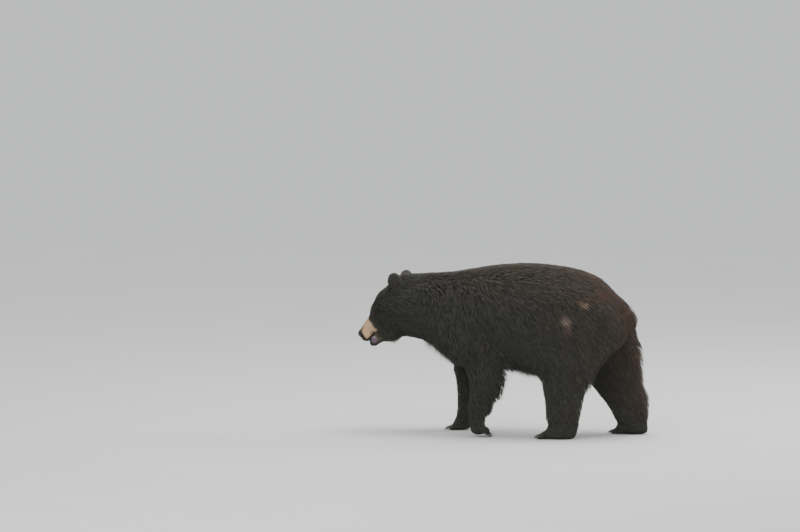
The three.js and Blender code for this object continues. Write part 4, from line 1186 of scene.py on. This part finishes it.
GROOVE_SHARE = 0.05  # depth of the claws' grooves, as a share of their size
claws = bmesh.new()
claw_shares = []
for node in CLAW_NODES:
    root, half_way, tip, sideways, half_width, half_height = claw_line(node)
    bend = 2 * half_way - (root + tip) / 2
    ring = []
    for row in range(CLAW_ROWS):
        share = row / CLAW_ROWS
        spot = (1 - share) ** 2 * root + 2 * share * (1 - share) * bend + share**2 * tip
        ahead = 2 * (1 - share) * (bend - root) + 2 * share * (tip - bend)
        ahead /= np.linalg.norm(ahead)
        rise = np.cross(sideways, ahead)
        size = (1 - share**1.6) ** 0.9
        following = []
        for n in range(CLAW_TURNS):
            turn = 2 * math.pi * n / CLAW_TURNS
            groove = 1 - GROOVE_SHARE * math.cos(3 * turn) ** 2
            offset = math.cos(turn) * half_width * sideways + math.sin(turn) * half_height * rise
            following.append(claws.verts.new(spot + offset * size * groove))
            claw_shares.append(share)
        if ring:
            join_rings(claws, ring, following)
        else:
            claws.faces.new(following)
        ring = following
    join_tip(claws, ring, claws.verts.new(tip))
    claw_shares.append(1.0)
claws = object_from("claws", claws)
layer = claws.data.attributes.new("along_claw", "FLOAT", "POINT")
layer.data.foreach_set("value", np.array(claw_shares, np.float32))


def claw_horn():
    # Keratin horn: nearly black at the root, brown and scuffed towards the tip, satin, with growth lines
    # about 1 mm apart along it.
    material = new_material("dark_claw_horn")
    along = add_node(material, "ShaderNodeAttribute", {"attribute_name": "along_claw"})["Fac"]
    place = add_node(material, "ShaderNodeTexCoord")["Object"]
    scuff = add_node(material, "ShaderNodeTexNoise", Vector=place, Scale=700.0, Detail=3.0)[0]
    turns = add_node(material, "ShaderNodeMath", {"operation": "MULTIPLY"}, n0=along, n1=120.0)[0]
    wave = add_node(material, "ShaderNodeMath", {"operation": "SINE"}, n0=turns)[0]
    lines = add_node(material, "ShaderNodeMath", {"operation": "MULTIPLY_ADD"}, n0=scuff, n1=2.0, n2=wave)[0]
    bump = add_node(material, "ShaderNodeBump", Height=lines, Strength=0.25, Distance=0.0002)[0]
    worn = add_node(material, "ShaderNodeMath", {"operation": "MULTIPLY"}, n0=along, n1=scuff)[0]
    tone = add_node(material, "ShaderNodeMixRGB", Fac=worn, Color1="191614", Color2="5f5346")[0]
    rough = add_node(material, "ShaderNodeMapRange", Value=scuff, To_Min=0.3, To_Max=0.6)[0]
    shader = add_node(
        material, "ShaderNodeBsdfPrincipled", Base_Color=tone, Roughness=rough, IOR=1.55, Normal=bump,
    )
    add_node(material, "ShaderNodeOutputMaterial", Surface=shader[0])
    return material


claws.data.materials.append(claw_horn())
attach(claws, "root")
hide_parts(*CLAW_NODES)


# ---------------------------------------------------------------- coat
# The fur: tufts of guard hair rooted in the skin. Each is a thin three-sided blade that rises through the
# coat and then lies along it. Neighbours bend together into locks, whose tips stand at slightly different
# heights. Each piece of coat covers one part of the body and is one mesh.

rng = np.random.default_rng(20)
# For tufts of two and of three rings and a tip: where these lie along the tuft, their width, and painted
# shade.
RING_SHARES = {2: (0, 0.45, 1), 3: (0, 0.32, 0.68, 1)}
RING_WIDTHS = {2: (0.8, 1.0), 3: (0.8, 1.0, 0.66)}
# Painted shade: each ring's colour is scaled, darkest at the root as if shaded by the tufts over it, and a
# little paler at the tip.
RING_PAINTED_SHADE = {2: (0.7, 0.95, 1.1), 3: (0.55, 0.85, 1.0, 1.12)}
BLADE_RISE = 0.26  # how far a tuft's middle stands over its edges, as a share of its width
BAKE_PATCH = 0.003  # size of a tuft's patch on the unwrapped skin
FRINGE_DEPTH = (0.0325, 0.0375)  # depths of the coat from which it hangs in a fringe
LOCK_PULL = (0.11, 0.5)  # how far tips are drawn to the middle of their lock, in sleek coat and in a fringe
SWEEP_SIZE = 3.2  # how many locks wide a sweep is, within which they all lean a little the same way
ROOT_DEPTH = 0.0008  # how deep a tuft starts in the skin
STRAY_REACH = 0.038  # how far the loosest tips of a fringe stand out
LEAST_REACH = 0.45  # a tuft's least length along the coat, as a share of its own
MOST_MOVE = 0.012  # how far a ring may be moved back to its height in the coat


def cell_random(cells, salt):
    """Three even random numbers from 0 to 1 for each whole-numbered cell."""
    keys = cells.astype(np.int64) @ np.array([73856093, 19349663, 83492791]) + 7919 * salt
    numbers = []
    for n in range(3):
        key = (keys * 3 + n).astype(np.uint64)
        for _ in range(2):
            key ^= key >> np.uint64(31)
            key *= np.uint64(0x9E3779B97F4A7C15)
        numbers.append((key >> np.uint64(40)).astype(float) / 2**24)
    return np.stack(numbers, 1)


def lock_of(points, size, salt):
    """The middle of the lock that each point belongs to, and three random numbers of that lock."""
    base = np.floor(points / size)
    nearest = np.full(len(points), np.inf)
    middles, chances = np.zeros_like(points), np.zeros_like(points)
    for n in range(27):
        cell = base + [n % 3 - 1, n // 3 % 3 - 1, n // 9 - 1]
        chance = cell_random(cell, salt)
        middle = (cell + chance) * size
        away = ((points - middle) ** 2).sum(1)
        closer = away < nearest
        nearest[closer], middles[closer], chances[closer] = away[closer], middle[closer], chance[closer]
    return middles, cell_random(np.round(chances * 1e6), salt + 1)


def flat_on(slope, way):
    return way - slope * (way * slope).sum(1, keepdims=True)


def unit_rows(rows):
    return rows / np.maximum(np.linalg.norm(rows, axis=1, keepdims=True), 1e-9)


def tuft_roots(chosen, spacing):
    """Random places on the chosen skin triangles, evenly spread, and their places on the unwrapped skin."""
    weight = np.cumsum(skin_areas * chosen)
    count = int(weight[-1] / spacing**2)
    marks = (np.arange(count) + rng.random(count)) / count * weight[-1]
    triangle = np.minimum(np.searchsorted(weight, marks), len(weight) - 1)
    first, second = np.sqrt(rng.random(count)), rng.random(count)
    shares = np.stack([1 - first, first * (1 - second), first * second], 1)
    roots = (skin_place[skin_corners[triangle]] * shares[:, :, None]).sum(1)
    return roots, (skin_uv[triangle] * shares[:, :, None]).sum(1), skin_normals[triangle]


def risen(share):
    """How much of its height a tuft has reached at a share of its length."""
    return math.sin(share * math.pi / 2) ** 0.85


def tuft_lines(roots, normals, segments, lock_size, lift, unevenness, length_share):
    """The line down each tuft's middle, the way out from the coat there, and its lock's random numbers."""
    count = len(roots)
    facts = coat_facts(roots)
    middle, chance = lock_of(roots, lock_size, 3)
    level = coat_distance(roots)
    slope = unit_rows(slope_of(coat_distance, roots) + 0.5 * normals)
    sweep = lock_of(roots, lock_size * SWEEP_SIZE, 11)[1]
    fringe = smooth_step(*FRINGE_DEPTH, facts[:, 0])
    bend = (chance - 0.5) * (0.1 + 0.25 * fringe)[:, None] + (sweep - 0.5) * 0.07
    bend += rng.normal(0, 0.06, (count, 3))
    length = facts[:, 1] * length_share * rng.uniform(0.75, 1.2, count)
    top = lift + unevenness * (0.7 * rng.normal(0, 1, count) + (chance[:, 0] - 0.5))
    top += fringe * (0.018 * chance[:, 2] - 0.006 + rng.normal(0, 0.002, count))
    stray = fringe * STRAY_REACH * chance[:, 1] ** 1.6 * rng.uniform(0.5, 1, count)
    pull = (LOCK_PULL[0] + fringe * (LOCK_PULL[1] - LOCK_PULL[0]))[:, None]
    spot, shares = roots - slope * ROOT_DEPTH, RING_SHARES[segments]
    line, slopes = [spot], [slope]
    for before, after in zip(shares, shares[1:]):
        rise = (top - level) * (risen(after) - risen(before)) + stray * (after**2.2 - before**2.2)
        step = (after - before) * length
        along = np.sqrt(np.maximum(step**2 - rise**2, (LEAST_REACH * step) ** 2))
        way = unit_rows(flat_on(slope, facts[:, 2:5] + bend))
        spot = spot + way * along[:, None] + slope * rise[:, None]
        spot = spot + flat_on(slope, middle - roots) * pull * (after**1.2 - before**1.2)
        slope = slope_of(coat_distance, spot)
        wanted = level + (top - level) * risen(after) + stray * after**2.2
        move = np.clip(wanted - coat_distance(spot), -MOST_MOVE, MOST_MOVE)
        spot = spot + slope * move[:, None]
        line.append(spot)
        slopes.append(slope)
    return np.stack(line, 1), np.stack(slopes, 1), chance


def blade_faces(segments):
    """The faces of one blade, as the numbers of its points: three a ring, then the tip."""
    tip = segments * 3
    faces = []
    for left in range(0, tip, 3):
        right, top = left + 1, left + 2
        if left + 3 < tip:
            faces += [(right, right + 3, top + 3, top), (top, top + 3, left + 3, left)]
            faces += [(left, left + 3, right + 3, right)]
        else:
            faces += [(right, tip, top), (top, tip, left), (left, tip, right)]
    return faces + [(0, 1, 2)]


def tuft_mesh(name, line, slopes, width, segments, patch, ring_colours_with_painted_shade):
    """One mesh of all the tufts along the lines, filled from arrays, because there are tens of thousands."""
    count = len(line)
    ahead = line[:, 1:] - line[:, :-1]
    ahead = np.concatenate([ahead[:, :1], ahead[:, :-1] + ahead[:, 1:]], 1)
    right = np.cross(ahead, slopes[:, :segments])
    right /= np.maximum(np.linalg.norm(right, axis=2, keepdims=True), 1e-9)
    half = (width[:, None] * np.array(RING_WIDTHS[segments]) / 2)[:, :, None]
    over = slopes[:, :segments] * half * 2 * BLADE_RISE
    rings = line[:, :segments, None, :] + np.stack([-right * half, right * half, over], 2)
    points = np.concatenate([rings.reshape(count, -1, 3), line[:, -1:]], 1)
    each = points.shape[1]
    faces = blade_faces(segments)
    loops = np.array([n for face in faces for n in face])
    starts = np.cumsum([0] + [len(f) for f in faces[:-1]])
    tufts = np.arange(count)[:, None]
    corners = (tufts * each + loops).ravel()
    mesh = bpy.data.meshes.new(name)
    mesh.vertices.add(count * each)
    mesh.vertices.foreach_set("co", points.astype(np.float32).ravel())
    mesh.loops.add(count * len(loops))
    mesh.loops.foreach_set("vertex_index", corners.astype(np.int32))
    mesh.polygons.add(count * len(faces))
    mesh.polygons.foreach_set("loop_start", (tufts * len(loops) + starts).astype(np.int32).ravel())
    mesh.update(calc_edges=True)
    # A tuft's corners on its own strip, and the same strip shrunk to its patch of the unwrapped skin.
    sides = ((-0.5, 0), (0.5, 0), (0, 0.15))
    flat = [(side, share + lean) for share in RING_SHARES[segments][:-1] for side, lean in sides]
    flat = np.array(flat + [(0, 1)])
    strand = flat[None] + np.stack([rng.random(count) * 40, rng.random(count) * 40], 1)[:, None]
    on_skin = patch[:, None] + (flat - [0, 0.5]) * BAKE_PATCH
    for layer_name, uv in (("OFBake", on_skin), ("strand", strand)):
        layer = mesh.uv_layers.new(name=layer_name)
        layer.data.foreach_set("uv", uv.reshape(-1, 2)[corners].astype(np.float32).ravel())
    ring_of = np.minimum(np.arange(each) // 3, segments)
    # each point takes its ring's colour, painted shade included
    paint(mesh, ring_colours_with_painted_shade[:, ring_of].reshape(-1, 3))
    mesh.shade_smooth()
    return mesh


def guard_hair(name, roughness, strands, sheen):
    # Hair: a glossy outer layer over dark pigment. Each tuft stands for a few dozen hairs, so its bump and
    # colour run in streaks along it, about 0.7 mm apart, drawn coarser than the 0.1 mm of real hairs.
    material = new_material(name)
    colour = add_node(material, "ShaderNodeAttribute", {"attribute_name": "coat_colour"})["Color"]
    strand = add_node(material, "ShaderNodeUVMap", {"uv_map": "strand"})[0]
    stretched = add_node(material, "ShaderNodeMapping", n0=strand, Scale=(strands, 1.1, 1.0))[0]
    streak = add_node(
        material, "ShaderNodeTexNoise", Vector=stretched, Scale=1.0, Detail=2.0, Roughness=0.6,
    )[0]
    shade = add_node(
        material, "ShaderNodeMapRange", Value=streak, From_Min=0.3, From_Max=0.7, To_Min=0.6, To_Max=1.4,
    )[0]
    tinted = add_node(material, "ShaderNodeVectorMath", {"operation": "SCALE"}, n0=colour, Scale=shade)[0]
    bump = add_node(material, "ShaderNodeBump", Height=streak, Strength=0.7, Distance=0.0012)[0]
    shader = add_node(
        material, "ShaderNodeBsdfPrincipled", Base_Color=tinted, Roughness=roughness, IOR=1.55, Normal=bump,
        Specular_IOR_Level=0.2, Sheen_Weight=sheen, Sheen_Roughness=0.4,
    )
    add_node(material, "ShaderNodeOutputMaterial", Surface=shader[0])
    return material


long_hair = guard_hair("long_guard_hair", 0.6, 6.0, 0.02)
short_hair = guard_hair("short_face_hair", 0.62, 5.0, 0.03)
muzzle_hair = guard_hair("short_muzzle_hair", 0.7, 5.0, 0.1)

# Where no hair grows: the lids' edges, the mouth, the lower lip, the skin behind the nose pad, and the soles.
x, y, z = skin_middles.T
forward, side, up = in_head(skin_middles)
on_head = (x < FRONT_OF_TRUNK) & ~skin_ears
on_eye = np.zeros(len(skin_middles), bool)
for word, centre in eyeballs.items():
    along, high, out = ((skin_middles - centre) @ eye_axes(word) * 1000).T
    on_eye |= ((along / (EYE_SLIT[0] + 2.2)) ** 2 + (high / (EYE_SLIT[1] + 2.6)) ** 2 < 1) & (out > 0)
nose_back = (forward > 297 - 0.3 * (up - 60)) & (up > 40)
on_lip = hanging_lip(forward, side, up) > 0.4
gape = (forward - MOUTH_CORNER) * MOUTH_SLOPE
in_mouth = (forward > MOUTH_CORNER - 7) & (np.abs(up - MOUTH_FLOOR) < gape + 1.5)
bare = on_head & (in_mouth | nose_back | on_eye | on_lip)
bare |= sole_share(skin_middles, skin_normals) > 0.5


def within(values, low, high):
    return (values > low) & (values <= high)


on_paw = (z < 0.085) | ((z < 0.13) & (x > -0.16) & (x < 0) & (y < 0))
on_trunk = (x > FRONT_OF_TRUNK) & ~on_paw & (z >= TOP_OF_LEGS) & ~skin_ears
on_leg = (x > FRONT_OF_TRUNK) & ~on_paw & (z < TOP_OF_LEGS)
in_ear = skin_ears & (coat_distance(skin_middles) > -0.016)
on_tail = (x > 0.63) & (np.abs(y) < 0.038) & (z > 0.56) & (z < 0.73)

# Each row: name, where, spacing, width, rings, size of a lock, mean height of the tips, unevenness, share of
# the length in the table, material and slot. Sizes are in mm. The tail has a second layer over the rump's.
COAT_PIECES = [
    ("coat_neck", on_trunk & (x <= -0.26), 5.6, 3.9, 3, 16, 2.0, 1.5, 1.0, long_hair, "coat"),
    ("coat_shoulders", on_trunk & within(x, -0.26, -0.08), 5.6, 4.0, 3, 17, 2.0, 1.5, 1.0, long_hair, "coat"),
    ("coat_ribs", on_trunk & within(x, -0.08, 0.11), 5.7, 4.2, 3, 17, 2.0, 1.4, 1.0, long_hair, "coat"),
    ("coat_flanks", on_trunk & within(x, 0.11, 0.31), 5.7, 4.2, 3, 17, 2.0, 1.4, 1.0, long_hair, "coat"),
    ("coat_thighs", on_trunk & within(x, 0.31, 0.5), 5.7, 4.2, 3, 17, 2.0, 1.5, 1.0, long_hair, "coat"),
    ("coat_rump", on_trunk & (x > 0.5), 5.6, 4.0, 3, 17, 2.0, 2.0, 1.0, long_hair, "coat"),
    ("coat_forelegs", on_leg & (x <= FRONT_OF_HINDLEGS), 4.7, 3.7, 3, 14, 1.0, 1.8, 1.0, long_hair, "coat"),
    ("coat_hindlegs", on_leg & (x > FRONT_OF_HINDLEGS), 4.9, 3.9, 3, 14, 1.0, 1.8, 1.0, long_hair, "coat"),
    ("coat_paws", on_paw, 3.9, 3.0, 2, 10, 0.3, 0.8, 1.0, short_hair, "coat"),
    ("coat_head", on_head & (forward <= 140), 4.1, 3.2, 3, 12, 0.8, 1.0, 1.0, long_hair, "coat"),
    ("coat_face", on_head & within(forward, 140, 192), 2.6, 1.7, 2, 8, 0.3, 0.5, 1.1, short_hair, "coat"),
    ("coat_muzzle", on_head & (forward > 192), 2.1, 1.2, 2, 6, 0.0, 0.3, 1.35, muzzle_hair, "muzzle_coat"),
    ("coat_ears", in_ear, 3.2, 2.6, 2, 8, 1.0, 1.2, 1.0, short_hair, "coat"),
    ("coat_tail", on_tail, 3.4, 3.0, 3, 10, 0.0, 1.0, 0.8, long_hair, "coat"),
]


def grow(name, where, spacing, width, segments, lock, lift, unevenness, length_share, material, slot_name):
    """Grows one piece of coat, its tufts in slightly different colours."""
    roots, patch, normals = tuft_roots(where & ~bare, spacing / 1000)
    line, slopes, chance = tuft_lines(
        roots, normals, segments, lock / 1000, lift / 1000, unevenness / 1000, length_share
    )
    colour = markings(line[:, -2])
    colour *= (np.exp(rng.normal(0, 0.24, len(roots))) * (0.92 + 0.16 * chance[:, 1]))[:, None]
    # the rings' colours take the painted shade, darker towards each tuft's root
    ring_colours_with_painted_shade = colour[:, None] * np.array(RING_PAINTED_SHADE[segments])[None, :, None]
    widths = width / 1000 * rng.uniform(0.7, 1.25, len(roots))
    mesh = tuft_mesh(name, line, slopes, widths, segments, patch, ring_colours_with_painted_shade)
    mesh.materials.append(material)
    piece = bpy.data.objects.new(name, mesh)
    bpy.context.scene.collection.objects.link(piece)
    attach(piece, "root")


for row in COAT_PIECES:
    grow(*row)


# ---------------------------------------------------------------- floor, light and camera
# A plain pale studio floor under an even sky, with soft lights from above, from the rear and from the bear's
# left, and a camera at the height of a standing viewer, far off with a long lens.

FLOOR_REACH = 400
floor_corners = [(x * FLOOR_REACH, y * FLOOR_REACH, 0) for x, y in ((-1, -1), (1, -1), (1, 1), (-1, 1))]
floor_mesh = bpy.data.meshes.new("studio_floor")
floor_mesh.from_pydata(floor_corners, [], [(0, 1, 2, 3)])
floor = bpy.data.objects.new("studio_floor", floor_mesh)
bpy.context.scene.collection.objects.link(floor)


def matt_floor():
    # Matt painted screed: pale warm grey, no gloss, with a faint unevenness half a metre across.
    material = new_material("matt_floor_paint")
    place = add_node(material, "ShaderNodeTexCoord")["Object"]
    uneven = add_node(material, "ShaderNodeTexNoise", Vector=place, Scale=2.0)[0]
    tone = add_node(material, "ShaderNodeMixRGB", Fac=uneven, Color1="b9b8b4", Color2="bfbebb")[0]
    shader = add_node(
        material, "ShaderNodeBsdfPrincipled", Base_Color=tone, Roughness=0.9, Specular_IOR_Level=0.2,
    )
    add_node(material, "ShaderNodeOutputMaterial", Surface=shader[0])
    return material


floor_mesh.materials.append(matt_floor())
floor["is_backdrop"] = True

world = bpy.data.worlds.new("studio")
bpy.context.scene.world = world
world.use_nodes = True
world.node_tree.nodes["Background"].inputs["Color"].default_value = (0.93, 0.96, 1.0, 1)
world.node_tree.nodes["Background"].inputs["Strength"].default_value = 1.5


def soft_light(name, place, aim, size, watts):
    lamp = bpy.data.lights.new(name, "AREA")
    lamp.shape, lamp.size, lamp.energy = "DISK", size, watts
    light = bpy.data.objects.new(name, lamp)
    light.location = place
    way = Vector(aim) - Vector(place)
    light.rotation_euler = way.to_track_quat("-Z", "Y").to_euler()
    bpy.context.scene.collection.objects.link(light)


soft_light("overhead", (0.6, 0.2, 5.4), (0, 0, 0.5), 3.0, 260)
soft_light("rear", (4.2, 2.6, 3.2), (0.3, 0, 0.6), 2.0, 140)
soft_light("side", (-0.8, -5.2, 2.4), (0, 0, 0.45), 3.0, 90)

CAMERA_AZIMUTH, CAMERA_ELEVATION = math.radians(12), math.radians(5)
CAMERA_DISTANCE = 25.0
FRAME_WIDTH = 4.12  # metres across the picture at the bear
camera_aim = np.array([-0.5287, 0.0011, 0.8559])
camera_way = np.array([
    math.sin(CAMERA_AZIMUTH) * math.cos(CAMERA_ELEVATION),
    -math.cos(CAMERA_AZIMUTH) * math.cos(CAMERA_ELEVATION),
    math.sin(CAMERA_ELEVATION),
])
lens = bpy.data.cameras.new("camera")
lens.sensor_width = 36
lens.lens = 36 * CAMERA_DISTANCE / FRAME_WIDTH
lens.clip_end = 1500
camera = bpy.data.objects.new("camera", lens)
camera.location = camera_aim + CAMERA_DISTANCE * camera_way
camera.rotation_euler = Vector(-camera_way).to_track_quat("-Z", "Y").to_euler()
bpy.context.scene.collection.objects.link(camera)
bpy.context.scene.camera = camera
